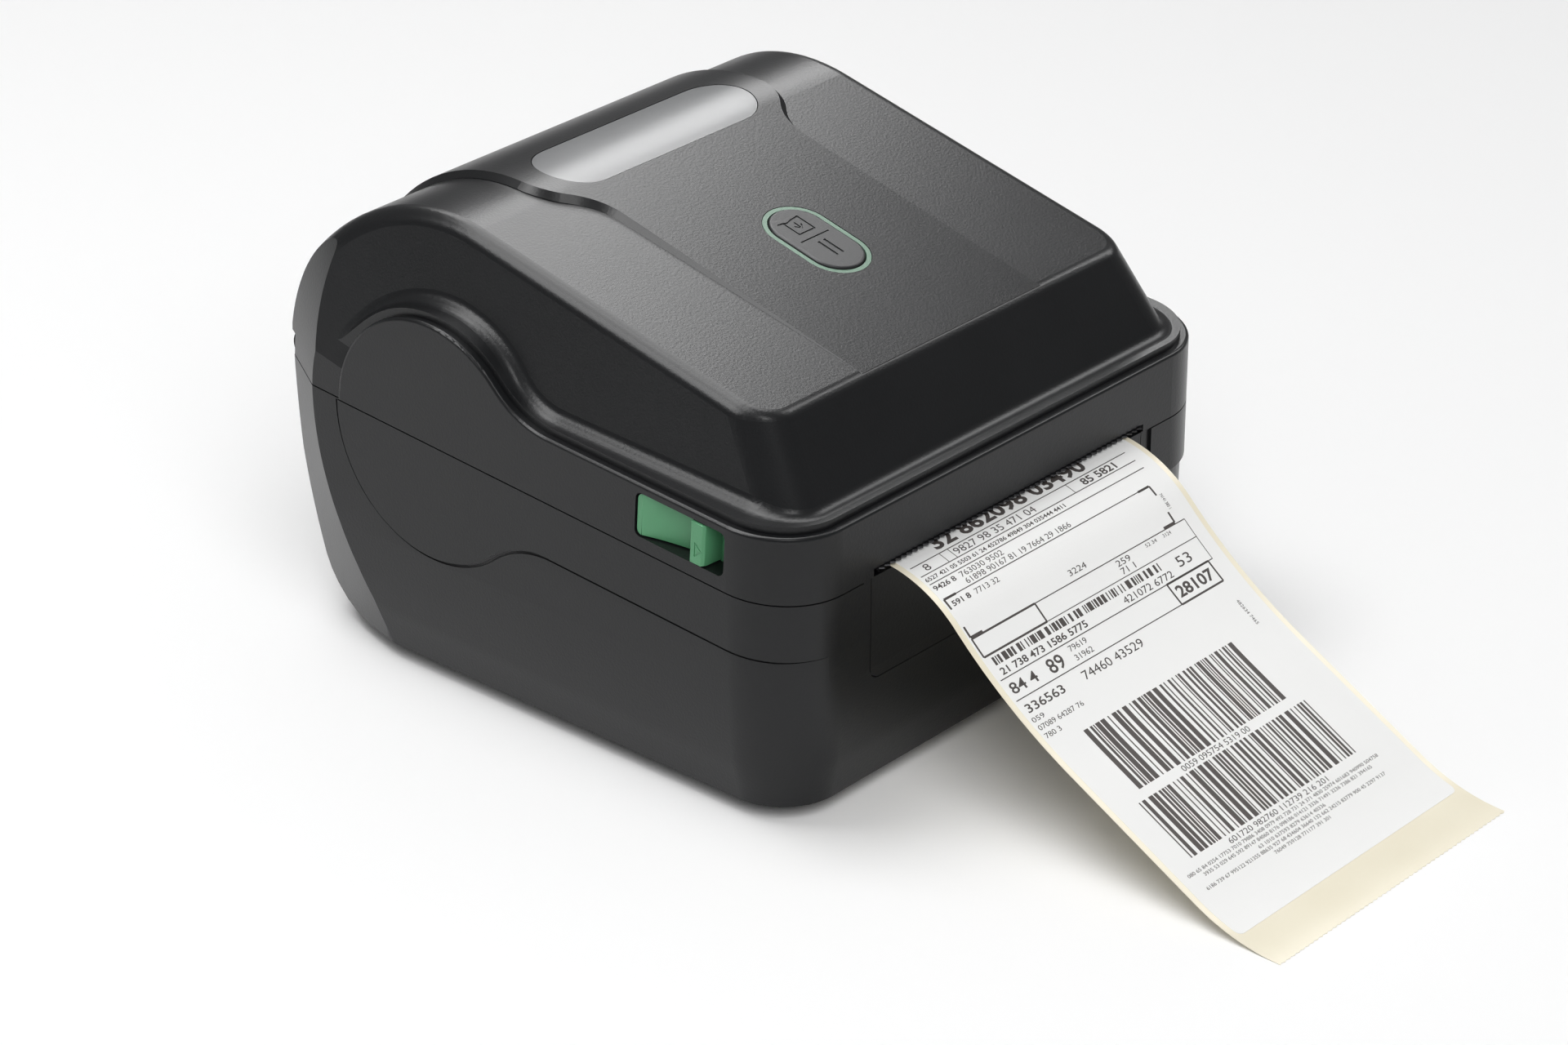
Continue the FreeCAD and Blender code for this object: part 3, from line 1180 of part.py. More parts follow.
# Release tabs in the lid's sides, each with a hook that reaches down past the seam.
def tab():
    low, high = num("tab_low") + 0.4, num("tab_high") - 0.4
    o = half_w
    rib0, rib1 = tab_u0 + 7, tab_u0 + 11.6
    rear = tab_u1 - 0.5
    outline = [(-5.2, rib1 + 1), (-4.6, rib1 + 0.3), (0.6, rib1), (0.6, rib0 + 0.6), (-0.4, rib0)]
    outline += [(-9, rib0 - 0.6), (-9, rear), (-0.5, rear), (-0.5, rear - 1.5)]
    pts = [Vector(o + x, y, low) for x, y in outline]
    scoop = Part.Arc(pts[-1], Vector(o - 3.6, (rear + rib1) / 2 - 1, low), pts[0])
    edges = [Part.makeLine(a, b) for a, b in zip(pts, pts[1:])]
    edges.append(scoop.toShape())
    body = Part.Face(Part.Wire(edges)).extrude(Vector(0, 0, high - low))
    body = body.makeFillet(1.8, keep(lambda p: abs(p.y - rear) < 0.01 and o - 8 < p.x < o - 2, body.Edges))
    crest = keep(lambda p: p.x > o - 0.45 and p.y < rib1 + 0.1, body.Edges)
    body = body.makeFillet(0.35, crest)
    flange = brick(tab_in - 3, tab_in - 0.4, tab_u0 + 2, tab_u1 + 3, num("tab_low") - 2.5, up - wall - 0.4)
    piece = on_seam(body.fuse(flange))
    y0 = tab_y1 - 15.6
    hook = brick(tab_in - 3.4, tab_in - 0.4, y0, y0 + 6, seam_f - 12, seam_f + 14)
    nose = brick(tab_in - 3.4, tab_in - 0.4, y0 + 6, y0 + 8, seam_f - 12, seam_f - 8)
    return piece.fuse([hook, nose]).removeSplitter()


right_tab, left_tab = both(tab())
solid("release_tab_right", right_tab)
solid("release_tab_left", left_tab)

doc.recompute()
bad = []
for obj in doc.Objects:
    if "Invalid" in obj.State or "Error" in obj.State:
        bad.append(obj.Label + " has the state " + str(obj.State))
for obj in nodes:
    if obj.Shape.isNull() or not obj.Shape.isValid():
        bad.append(obj.Label + " is not a valid shape")
if bad:
    raise SystemExit("; ".join(bad))
os.makedirs("parts", exist_ok=True)
for obj in nodes:
    obj.Shape.exportStep(os.path.join("parts", obj.Label + ".step"))
print(len(nodes), "parts written")
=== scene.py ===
# %% [markdown]
# # A desktop label printer, dressed in Blender
# The printer's solids come from a CAD model that is loaded as a fixed frame. This lesson gives each solid its
# finish and models the pieces that CAD leaves plain: the printed label, the marks on the button and on the
# release tabs, the fine line on the base, the teeth of the tear bar and the springs of the print head.

# %% Load the frame
import math
import random
import bmesh
import bpy
from mathutils import Matrix, Quaternion, Vector


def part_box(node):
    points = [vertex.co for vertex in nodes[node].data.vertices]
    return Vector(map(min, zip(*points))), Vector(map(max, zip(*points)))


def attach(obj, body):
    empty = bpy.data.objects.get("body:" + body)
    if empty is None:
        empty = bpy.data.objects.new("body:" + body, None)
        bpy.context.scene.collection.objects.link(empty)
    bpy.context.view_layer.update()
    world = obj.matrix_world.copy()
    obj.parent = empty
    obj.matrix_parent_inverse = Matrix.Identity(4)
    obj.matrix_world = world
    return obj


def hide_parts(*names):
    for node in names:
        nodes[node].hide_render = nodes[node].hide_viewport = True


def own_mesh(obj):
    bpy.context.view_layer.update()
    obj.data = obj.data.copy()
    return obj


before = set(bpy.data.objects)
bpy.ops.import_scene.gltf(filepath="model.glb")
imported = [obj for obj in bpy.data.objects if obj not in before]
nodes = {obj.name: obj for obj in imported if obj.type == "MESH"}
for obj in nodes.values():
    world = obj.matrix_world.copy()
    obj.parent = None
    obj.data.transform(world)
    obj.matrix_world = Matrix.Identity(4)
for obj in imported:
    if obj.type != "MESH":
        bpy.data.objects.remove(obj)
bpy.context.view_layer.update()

MM = 0.001
bpy.ops.object.select_all(action="DESELECT")

# %% [markdown]
# ## The camera
# A product picture like this is taken from well away with a long lens, so that the case keeps its straight
# lines. The camera stands in front, to the left and above, and looks a little below the middle of the case.
# A track quaternion points the camera's own -Z axis along the line of sight and keeps its Y axis upwards.

# %% Set the camera
camera_place = Vector((-0.9342, -0.8440, 0.6784))
camera_aim = Vector((0.02323, 0.0030, 0.0192))
camera_roll = math.radians(-0.08)
bpy.ops.object.camera_add(location=camera_place)
camera = bpy.context.object
camera.data.lens = 110.9
camera.data.sensor_width = 36.0
camera.data.clip_end = 60.0
camera.rotation_mode = "QUATERNION"
line_of_sight = (camera_aim - camera_place).to_track_quat("-Z", "Y")
camera.rotation_quaternion = line_of_sight @ Quaternion((0, 0, 1), camera_roll)
bpy.context.scene.camera = camera
print("camera to aim:", round((camera_aim - camera_place).length, 3), "m")

# %% [markdown]
# ## The floor and the light
# The printer stands on a wide white sweep. Two lamps light it: a soft box overhead and a large fill from the
# front left, which keeps the floor white and the label bright. Black plastic hardly takes light: it shows
# what it mirrors. So further soft boxes hang where the camera sees them in the case, and only gloss takes
# them up: one at the back right for the sloping top, one further off behind it for the level ledges, one to
# the right for the round foot of the front, and two more for the steps that face left. The fill isn't
# mirrored, so the slanted front stays dark. The air is grey and a little lighter overhead, and the Standard
# view transform keeps the white floor white.

# %% Lay the floor
floor_drop = 0.05 * MM
floor_reach = 9.0
bpy.ops.object.select_all(action="DESELECT")
bpy.ops.mesh.primitive_circle_add(
    vertices=96, radius=floor_reach, fill_type="NGON", location=(0, 0, -floor_drop))
floor = bpy.context.object
floor.name = "studio_floor"
floor_paint = bpy.data.materials.new("studio_floor_paint")
floor_paint.use_nodes = True
floor_shader = floor_paint.node_tree.nodes["Principled BSDF"]
floor_shader.inputs["Base Color"].default_value = (0.97, 0.97, 0.97, 1)
floor_shader.inputs["Roughness"].default_value = 0.9
floor_shader.inputs["Specular IOR Level"].default_value = 0.1
floor.data.materials.append(floor_paint)
print("floor radius in m:", floor_reach)

# %% Hang the soft boxes


def soft_box(name, place, aim, wide, deep, power):
    """An area light that faces a point, with its size in metres and its power in watts."""
    bpy.ops.object.light_add(type="AREA", location=place)
    lamp = bpy.context.object
    lamp.name = name
    lamp.data.shape = "RECTANGLE"
    lamp.data.size = wide
    lamp.data.size_y = deep
    lamp.data.energy = power
    lamp.rotation_euler = (Vector(aim) - Vector(place)).to_track_quat("-Z", "Y").to_euler()
    return lamp


case_top = (0, 0, 0.1)
mirrored_boxes = (
    ("right_box", (0.55, 0.65, 1.45), 0.9, 1.2, 20),
    ("back_box", (1.84, 1.30, 1.49), 0.5, 0.6, 7),
    ("ledge_box", (1.50, -0.35, 1.45), 0.5, 1.0, 10),
    ("crown_box", (-0.50, -0.85, 1.55), 0.4, 0.4, 4),
    ("left_box", (-1.10, 0.55, 1.40), 0.7, 0.9, 16),
)
soft_box("top_box", (-0.30, 0.45, 1.70), (0, 0, 0.05), 0.8, 0.9, 14)
for name, place, wide, deep, power in mirrored_boxes:
    soft_box(name, place, case_top, wide, deep, power).visible_diffuse = False
front_fill = soft_box("front_fill", (-2.2, -2.4, 3.4), (0, 0.4, 0), 3.2, 3.2, 132)
front_fill.visible_glossy = False

# %% Shade the air
world = bpy.data.worlds.new("studio_air")
bpy.context.scene.world = world
world.use_nodes = True
world_nodes = world.node_tree.nodes
world_links = world.node_tree.links
sky_way = world_nodes.new("ShaderNodeTexCoord")
sky_parts = world_nodes.new("ShaderNodeSeparateXYZ")
sky_ramp = world_nodes.new("ShaderNodeValToRGB")
sky_low, sky_high = sky_ramp.color_ramp.elements
sky_low.color = (0.17, 0.17, 0.173, 1)
sky_high.color = (0.30, 0.30, 0.30, 1)
world_links.new(sky_way.outputs["Generated"], sky_parts.inputs[0])
world_links.new(sky_parts.outputs["Z"], sky_ramp.inputs[0])
world_links.new(sky_ramp.outputs["Color"], world_nodes["Background"].inputs["Color"])
bpy.context.scene.view_settings.view_transform = "Standard"
print("air:", world.name, "seen through:", bpy.context.scene.view_settings.view_transform)

# %% [markdown]
# ## Finishes
# Nearly all of the printer is moulded plastic. A real moulding is never one flat colour: its tone drifts a
# little, its gloss changes with the drift, and a fine grain from the etched mould breaks up the highlights.
# One helper builds that from noise on Object coordinates, which stay fixed to the piece in every pose.
# Values that are the same all over go straight onto the shader's own sockets.

# %% Helper for a mottled, grained finish
GRAIN_RELIEF = 0.06 * MM


def finish(name, dark, light, gloss, drift=35, grain=1800, depth=0.35, metal=0.0, shine=0.5):
    """A finish with drifting tone, gloss between two values and a fine bump."""
    material = bpy.data.materials.new(name)
    material.use_nodes = True
    tree = material.node_tree
    shader = tree.nodes["Principled BSDF"]
    shader.inputs["Metallic"].default_value = metal
    shader.inputs["Specular IOR Level"].default_value = shine
    place = tree.nodes.new("ShaderNodeTexCoord")
    cloud = tree.nodes.new("ShaderNodeTexNoise")
    cloud.inputs["Scale"].default_value = drift
    cloud.inputs["Detail"].default_value = 4
    tone = tree.nodes.new("ShaderNodeMix")
    tone.data_type = "RGBA"
    tone.inputs["A"].default_value = (*dark, 1)
    tone.inputs["B"].default_value = (*light, 1)
    sheen = tree.nodes.new("ShaderNodeMapRange")
    sheen.inputs["To Min"].default_value = gloss[0]
    sheen.inputs["To Max"].default_value = gloss[1]
    fine = tree.nodes.new("ShaderNodeTexNoise")
    fine.inputs["Scale"].default_value = grain
    fine.inputs["Detail"].default_value = 2
    bump = tree.nodes.new("ShaderNodeBump")
    bump.inputs["Strength"].default_value = depth
    bump.inputs["Distance"].default_value = GRAIN_RELIEF
    tree.links.new(place.outputs["Object"], cloud.inputs["Vector"])
    tree.links.new(place.outputs["Object"], fine.inputs["Vector"])
    tree.links.new(cloud.outputs["Fac"], tone.inputs["Factor"])
    tree.links.new(tone.outputs["Result"], shader.inputs["Base Color"])
    tree.links.new(cloud.outputs["Fac"], sheen.inputs["Value"])
    tree.links.new(sheen.outputs["Result"], shader.inputs["Roughness"])
    tree.links.new(fine.outputs["Fac"], bump.inputs["Height"])
    tree.links.new(bump.outputs["Normal"], shader.inputs["Normal"])
    return material


def coat(piece, material):
    """Gives a piece one finish all over."""
    piece.data.materials.clear()
    piece.data.materials.append(material)


def dress(material, *names):
    """Gives CAD nodes one finish."""
    for name in names:
        coat(nodes[name], material)


print("grain height in mm:", round(GRAIN_RELIEF / MM, 3))

# %% [markdown]
# ### The case
# The lid, the base and the front plate are black styrene with a satin grain. Seen in soft light the black is
# a dark grey. The pieces inside are a duller, plainer black, because nobody polishes a mould for the inside.

# %% Case plastics
case_black = finish(
    "case_black", (0.006, 0.0063, 0.0070), (0.009, 0.0094, 0.0103), (0.28, 0.31),
    grain=1300, depth=0.6, shine=0.32)
inner_black = finish(
    "inner_black", (0.010, 0.010, 0.011), (0.014, 0.014, 0.015), (0.52, 0.66), grain=900, shine=0.4)
dress(case_black, "lid_shell", "front_panel")
dress(inner_black, "media_tray", "lid_liner", "switch_housing", "rack_cover", "media_sensor", "web_guide_bar")
dress(inner_black, "power_jack", "power_rocker", "latch_catches")
key_black = finish("key_black", (0.011, 0.0114, 0.0124), (0.014, 0.0145, 0.0156), (0.38, 0.46))
print("case finishes:", case_black.name, inner_black.name, key_black.name)

# %% [markdown]
# ### Coloured and clear plastics
# What the user slides is green: the two release tabs and the roll's guides. The ring round the button is a
# milky light guide. The window is clear; a part-transparent shader lets light down to the roll, which full
# refraction would keep dark. Its light grey base colour, two thirds opaque, is painted reflection: it stands
# in for the sheen of the lamps on the window and for the white roll behind it.

# %% Green, light guide and window
touch_green = finish(
    "touch_green", (0.080, 0.270, 0.130), (0.095, 0.300, 0.150), (0.36, 0.46), drift=60, shine=0.4)
dress(touch_green, "guide_left", "guide_right")
ring_milk = finish("ring_milk", (0.10, 0.19, 0.13), (0.13, 0.23, 0.165), (0.3, 0.4), drift=90, grain=1200)
dress(ring_milk, "light_ring")
# Painted reflection: the light grey colour stands in for the window's sheen and the roll seen through it.
window_painted_sheen = finish(
    "window_painted_sheen", (0.27, 0.275, 0.28), (0.32, 0.325, 0.33), (0.22, 0.28), grain=60, depth=0.02)
window_shader = window_painted_sheen.node_tree.nodes["Principled BSDF"]
window_shader.inputs["Alpha"].default_value = 0.66
dress(window_painted_sheen, "view_window")
gear_white = finish("gear_white", (0.62, 0.61, 0.56), (0.70, 0.69, 0.64), (0.35, 0.45), drift=120)
dress(gear_white, "platen_gear", "idler_gear", "motor_pinion", "guide_pinion")
print("colours:", touch_green.name, ring_milk.name, window_painted_sheen.name, gear_white.name)

# %% [markdown]
# ### Metals, rubber and boards
# Brackets, pins and the USB shell are zinc-plated sheet and bar, the heat sink is plain aluminium, the bushes
# are bronze and the platen is a soft black rubber with a dusty look. The boards are green lacquer; on the
# main board a test of height turns what stands above the lacquer into black chips.

# %% Metals and rubber
zinc = finish(
    "zinc_plate", (0.48, 0.49, 0.50), (0.60, 0.61, 0.62), (0.28, 0.42), drift=160, grain=1200, metal=1.0)
dress(zinc, "drive_bracket", "end_bracket", "head_bracket", "drive_motor", "platen_shaft")
dress(zinc, "hinge_pins", "idler_stud", "guide_axle", "head_pivot_pin", "usb_port")
fins_alu = finish("fins_aluminium", (0.60, 0.61, 0.62), (0.68, 0.69, 0.70), (0.3, 0.4), drift=90, metal=1.0)
dress(fins_alu, "heat_sink")
bronze = finish("bush_bronze", (0.42, 0.28, 0.12), (0.52, 0.36, 0.17), (0.35, 0.5), drift=200, metal=1.0)
dress(bronze, "platen_bushes")
rubber = finish(
    "roller_rubber", (0.020, 0.020, 0.021), (0.034, 0.034, 0.035), (0.7, 0.85), drift=110, grain=1500)
dress(rubber, "platen_rubber", "rubber_feet")
screw_zinc = finish("screw_zinc", (0.40, 0.41, 0.42), (0.55, 0.56, 0.57), (0.3, 0.42), drift=300, metal=1.0)
dress(screw_zinc, "case_screws", "liner_screws")
head_glaze = finish(
    "head_glaze", (0.075, 0.045, 0.030), (0.10, 0.062, 0.042), (0.12, 0.2), drift=150, depth=0.1)
dress(head_glaze, "print_head")
print("metals:", zinc.name, fins_alu.name, bronze.name, screw_zinc.name)

# %% Boards
LACQUER_DARK = (0.012, 0.085, 0.035)
LACQUER_LIGHT = (0.018, 0.12, 0.05)
LACQUER_GLOSS = (0.25, 0.38)
LACQUER_DRIFT = 220


def board_finish(name, lacquer_top):
    """Green lacquer up to a height, black parts above it."""
    material = finish(name, LACQUER_DARK, LACQUER_LIGHT, LACQUER_GLOSS, LACQUER_DRIFT, grain=700)
    tree = material.node_tree
    shader = tree.nodes["Principled BSDF"]
    green = shader.inputs["Base Color"].links[0].from_socket
    place = tree.nodes.new("ShaderNodeTexCoord")
    parts = tree.nodes.new("ShaderNodeSeparateXYZ")
    above = tree.nodes.new("ShaderNodeMath")
    above.operation = "GREATER_THAN"
    above.inputs[1].default_value = lacquer_top
    split = tree.nodes.new("ShaderNodeMix")
    split.data_type = "RGBA"
    split.inputs["B"].default_value = (0.02, 0.02, 0.022, 1)
    tree.links.new(place.outputs["Object"], parts.inputs[0])
    tree.links.new(parts.outputs["Z"], above.inputs[0])
    tree.links.new(above.outputs[0], split.inputs["Factor"])
    tree.links.new(green, split.inputs["A"])
    tree.links.new(split.outputs["Result"], shader.inputs["Base Color"])
    return material


board_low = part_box("main_board")[0].z
board_thick = 1.65 * MM
dress(board_finish("main_lacquer", board_low + board_thick), "main_board")
dress(finish("key_lacquer", LACQUER_DARK, LACQUER_LIGHT, LACQUER_GLOSS, LACQUER_DRIFT), "button_board")
print("boards dressed")

# %% [markdown]
# ### Paper and card
# The roll is a long strip wound on a card core. Its two ends show the edges of the turns as fine rings, so
# the finish reads the distance from the roll's own axis and lets a sine wave darken it.

# %% Paper finishes
label_white = finish("label_white", (0.80, 0.80, 0.79), (0.84, 0.84, 0.83), (0.5, 0.6), drift=25, grain=2500)
liner_cream = finish(
    "liner_cream", (0.78, 0.72, 0.56), (0.84, 0.79, 0.64), (0.28, 0.38), drift=40, grain=2500)
ink_black = finish(
    "ink_black", (0.040, 0.033, 0.030), (0.060, 0.050, 0.046), (0.55, 0.65), drift=300, grain=2500)
card_brown = finish("card_brown", (0.30, 0.21, 0.12), (0.40, 0.29, 0.18), (0.7, 0.85), drift=400, grain=900)
dress(card_brown, "roll_core")
print("papers:", label_white.name, liner_cream.name, ink_black.name, card_brown.name)

# %% The wound roll


def wound_finish(name, axis_y, axis_z, turn):
    """White paper with rings about the roll's axis."""
    material = finish(name, (0.70, 0.70, 0.68), (0.80, 0.80, 0.78), (0.55, 0.65), drift=30, grain=2500)
    tree = material.node_tree
    shader = tree.nodes["Principled BSDF"]
    white = shader.inputs["Base Color"].links[0].from_socket
    place = tree.nodes.new("ShaderNodeTexCoord")
    centre = tree.nodes.new("ShaderNodeMapping")
    centre.inputs["Location"].default_value = (0, -axis_y, -axis_z)
    centre.inputs["Scale"].default_value = (0, 1, 1)
    reach = tree.nodes.new("ShaderNodeVectorMath")
    reach.operation = "LENGTH"
    turns = tree.nodes.new("ShaderNodeMath")
    turns.operation = "MULTIPLY"
    turns.inputs[1].default_value = 2 * math.pi / turn
    wave = tree.nodes.new("ShaderNodeMath")
    wave.operation = "SINE"
    shade = tree.nodes.new("ShaderNodeMapRange")
    shade.inputs["From Min"].default_value = -1
    shade.inputs["To Min"].default_value = 0.0
    shade.inputs["To Max"].default_value = 0.45
    edges = tree.nodes.new("ShaderNodeMix")
    edges.data_type = "RGBA"
    edges.inputs["B"].default_value = (0.62, 0.55, 0.40, 1)
    tree.links.new(place.outputs["Object"], centre.inputs["Vector"])
    tree.links.new(centre.outputs["Vector"], reach.inputs[0])
    tree.links.new(reach.outputs["Value"], turns.inputs[0])
    tree.links.new(turns.outputs[0], wave.inputs[0])
    tree.links.new(wave.outputs[0], shade.inputs["Value"])
    tree.links.new(shade.outputs["Result"], edges.inputs["Factor"])
    tree.links.new(white, edges.inputs["A"])
    tree.links.new(edges.outputs["Result"], shader.inputs["Base Color"])
    return material


roll_low, roll_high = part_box("label_roll")
roll_centre = (roll_low + roll_high) / 2
ring_pitch = 1.3 * MM
dress(wound_finish("roll_white", roll_centre.y, roll_centre.z, ring_pitch), "label_roll")
print("roll radius in mm:", round((roll_high.z - roll_low.z) / 2 / MM, 1))

# %% [markdown]
# ## The label strip
# The strip that leaves the front is a cream liner paper with white labels stuck on it, one after the other.
# In the factory the web is coated, the labels are cut on it with rounded corners, and it is wound up. Here
# too all is made flat, the sheets first and then the print, and each piece is bent when it is done. The bend
# could be worked out point by point, but a Curve modifier does it for every piece along the same path, so
# the print can't leave its paper.
# The path is a chain of straight runs and arcs, each given by its length in mm and by the degrees that the
# strip turns on it. The mark at the platen is where the label's own lengths are counted from.

# %% The strip's path
strip_start = Vector((0, -3.741, 118.353)) * MM
strip_fall = math.radians(42.98)
strip_runs = ((61.0, 0), (15.0, -42.98), (34.4, 0), (31.42, 45), (50.44, -17), (48.19, 0), (29.32, -28))
platen_mark = 110.4


def heading(fall):
    """The way that the strip runs where it falls by an angle."""
    return Vector((0, -math.cos(fall), -math.sin(fall)))


def draw_path(name, start, fall, runs):
    """A Bezier path of straight runs and arcs that join smoothly."""
    knots = [[start, start, start]]
    for length, degrees in runs:
        turn = math.radians(degrees)
        chord = length
        grip = length / 3
        if turn:
            radius = length / abs(turn)
            chord = 2 * radius * math.sin(abs(turn) / 2)
            grip = 4 / 3 * math.tan(abs(turn) / 4) * radius
        here = knots[-1][0]
        there = here + heading(fall + turn / 2) * chord * MM
        knots[-1][2] = here + heading(fall) * grip * MM
        fall += turn
        knots.append([there, there - heading(fall) * grip * MM, there + heading(fall) * grip * MM])
    curve = bpy.data.curves.new(name, "CURVE")
    curve.dimensions = "3D"
    curve.twist_mode = "Z_UP"
    curve.resolution_u = 32
    curve.use_deform_bounds = False
    spline = curve.splines.new("BEZIER")
    spline.bezier_points.add(len(knots) - 1)
    for point, (place, before, after) in zip(spline.bezier_points, knots):
        point.co = place
        point.handle_left = before
        point.handle_right = after
        point.tilt = math.pi
    path = bpy.data.objects.new(name, curve)
    bpy.context.collection.objects.link(path)
    return path


strip_path = draw_path("strip_path", strip_start, strip_fall, strip_runs)
strip_length = sum(run[0] for run in strip_runs)
print("strip length in mm:", round(strip_length, 1))

# %% [markdown]
# ### Liner and labels
# Each sheet starts as a plane. A label's corners are rounded by a bevel of its four points, the liner's front
# edge is divided and every second point is pulled back into the fine saw line that a tear bar leaves, and an
# extrude gives the paper its thickness. Cuts straight across, at the same steps for every sheet, let it bend.

# %% Helpers that cut and bend a sheet
STEP = 1.5
STEP_MARGIN = 0.02
SAME_PLACE = 1e-6
LINER_BITE = 0.45


def work_on(piece):
    """Selects one object alone and makes it the active one."""
    bpy.ops.object.select_all(action="DESELECT")
    piece.select_set(True)
    bpy.context.view_layer.objects.active = piece


def slice_across(s_from, s_to):
    """In edit mode, cuts everything straight across the strip at even steps."""
    for k in range(math.ceil(s_from / STEP + STEP_MARGIN), math.floor(s_to / STEP - STEP_MARGIN) + 1):
        bpy.ops.mesh.select_all(action="SELECT")
        bpy.ops.mesh.bisect(plane_co=(0, -k * STEP * MM, 0), plane_no=(0, 1, 0))


def tear_front(sheet, s_end, teeth, bite):
    """In edit mode, turns the front edge of a flat sheet into a fine saw line."""
    mesh = bmesh.from_edit_mesh(sheet.data)
    bpy.ops.mesh.select_all(action="DESELECT")
    for edge in mesh.edges:
        edge.select = all(abs(v.co.y + s_end * MM) < SAME_PLACE for v in edge.verts)
    mesh.select_flush(True)
    bmesh.update_edit_mesh(sheet.data)
    bpy.ops.mesh.subdivide(number_cuts=2 * teeth - 1)
    mesh = bmesh.from_edit_mesh(sheet.data)
    front = [v for v in mesh.verts if abs(v.co.y + s_end * MM) < SAME_PLACE]
    for v in sorted(front, key=lambda v: v.co.x)[1::2]:
        v.co.y += bite * MM
    bmesh.update_edit_mesh(sheet.data)


def cut_sheet(name, wide, s_from, s_to, low, high, corner=0, teeth=0):
    """A flat sheet of paper, with Y running backwards along the strip."""
    bpy.ops.object.select_all(action="DESELECT")
    bpy.ops.mesh.primitive_plane_add(size=1)
    sheet = bpy.context.object
    sheet.name = name
    bpy.ops.object.mode_set(mode="EDIT")
    bpy.ops.mesh.select_all(action="SELECT")
    bpy.ops.transform.resize(value=(wide * MM, (s_to - s_from) * MM, 1))
    bpy.ops.transform.translate(value=(0, -(s_from + s_to) / 2 * MM, low * MM))
    if corner:
        bpy.ops.mesh.bevel(offset=corner * MM, segments=5, affect="VERTICES")
    if teeth:
        tear_front(sheet, s_to, teeth, LINER_BITE)
    bpy.ops.mesh.select_all(action="SELECT")
    bpy.ops.mesh.extrude_region_move(TRANSFORM_OT_translate={"value": (0, 0, (high - low) * MM)})
    slice_across(s_from, s_to)
    bpy.ops.mesh.select_all(action="SELECT")
    bpy.ops.mesh.normals_make_consistent(inside=False)
    bpy.ops.object.mode_set(mode="OBJECT")
    return sheet


def bend(piece, finish_used):
    """Lays a flat piece along the strip's path and gives it its finish."""
    work_on(piece)
    curl = piece.modifiers.new("curl", "CURVE")
    curl.object = strip_path
    curl.deform_axis = "NEG_Y"
    bpy.ops.object.modifier_apply(modifier="curl")
    coat(piece, finish_used)
    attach(piece, "base")


print("step of the cuts in mm:", STEP)

# %% Cut the sheets
LINER_WIDE = 104
LABEL_WIDE = 100
label_behind = 5.5
label_ahead = 144.5
label_back = platen_mark - label_behind
label_front = platen_mark + label_ahead
label_gap = 3
label_corner = 2
waiting_back = 6
liner_low = -0.125
liner_teeth = 90
paper_low = -0.01
paper_top = 0.09
liner = cut_sheet("label_liner", LINER_WIDE, 0, strip_length, liner_low, 0, teeth=liner_teeth)
label = cut_sheet("shipping_label", LABEL_WIDE, label_back, label_front, paper_low, paper_top, label_corner)
waiting_front = label_back - label_gap
next_label = cut_sheet(
    "waiting_label", LABEL_WIDE, waiting_back, waiting_front, paper_low, paper_top, label_corner)
bend(liner, liner_cream)
bend(label, label_white)
bend(next_label, label_white)
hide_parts("label_strip")
print("label size in mm:", LABEL_WIDE, "x", label_front - label_back)

# %% [markdown]
# ### The print
# The print head burns the print into the coating, so it has no height, but in a model it needs a little: two
# or three hundredths of a millimetre lift it clear of the paper. A texture would be the usual way. Geometry
# is sharper and goes along with the mesh when it is exported. The lines and bars are boxes added in edit
# mode.

# %% Helpers that print boxes
ink_low = 0.08
ink_high = 0.115
ink_middle = (ink_low + ink_high) / 2
ink_thick = ink_high - ink_low
ink_pieces = []


def ink_box(x_from, x_to, s_from, s_to):
    """In edit mode, adds one printed bar, in mm across and along the label."""
    middle = ((x_from + x_to) / 2 * MM, -(platen_mark + (s_from + s_to) / 2) * MM, ink_middle * MM)
    spans = ((x_to - x_from) * MM, (s_to - s_from) * MM, ink_thick * MM)
    bpy.ops.mesh.primitive_cube_add(size=1, location=middle, scale=spans)


def ink_group(name, boxes):
    """One object of printed boxes, cut across so that it can bend."""
    bpy.ops.object.select_all(action="DESELECT")
    bpy.ops.object.add(type="MESH")
    group = bpy.context.object
    group.name = name
    bpy.ops.object.mode_set(mode="EDIT")
    for box in boxes:
        ink_box(*box)
    slice_across(platen_mark + min(box[2] for box in boxes), platen_mark + max(box[3] for box in boxes))
    bpy.ops.object.mode_set(mode="OBJECT")
    ink_pieces.append(group)


def bar_code(x_from, x_to, s_from, s_to, module, draw):
    """Bars and gaps of one to four modules, drawn by lot."""
    boxes = []
    x = x_from
    while x < x_to - 3 * module:
        wide = module * draw.choice((1, 1, 2, 2, 3, 4))
        boxes.append((x, min(x + wide, x_to), s_from, s_to))
        x += wide + module * draw.choice((1, 1, 1, 2, 2, 3))
    return boxes


def rule(x_from, x_to, s, wide=0.3):
    """A line across the label."""
    return (x_from, x_to, s - wide / 2, s + wide / 2)


def post(x, s_from, s_to, wide=0.3):
    """A line along the label."""
    return (x - wide / 2, x + wide / 2, s_from, s_to)


def frame_lines(x_from, x_to, s_from, s_to, wide):
    """The four lines of a box."""
    across = [rule(x_from, x_to, s, wide) for s in (s_from, s_to)]
    return across + [post(x, s_from, s_to, wide) for x in (x_from, x_to)]


print("ink above the paper in mm:", round(ink_high - paper_top, 3))

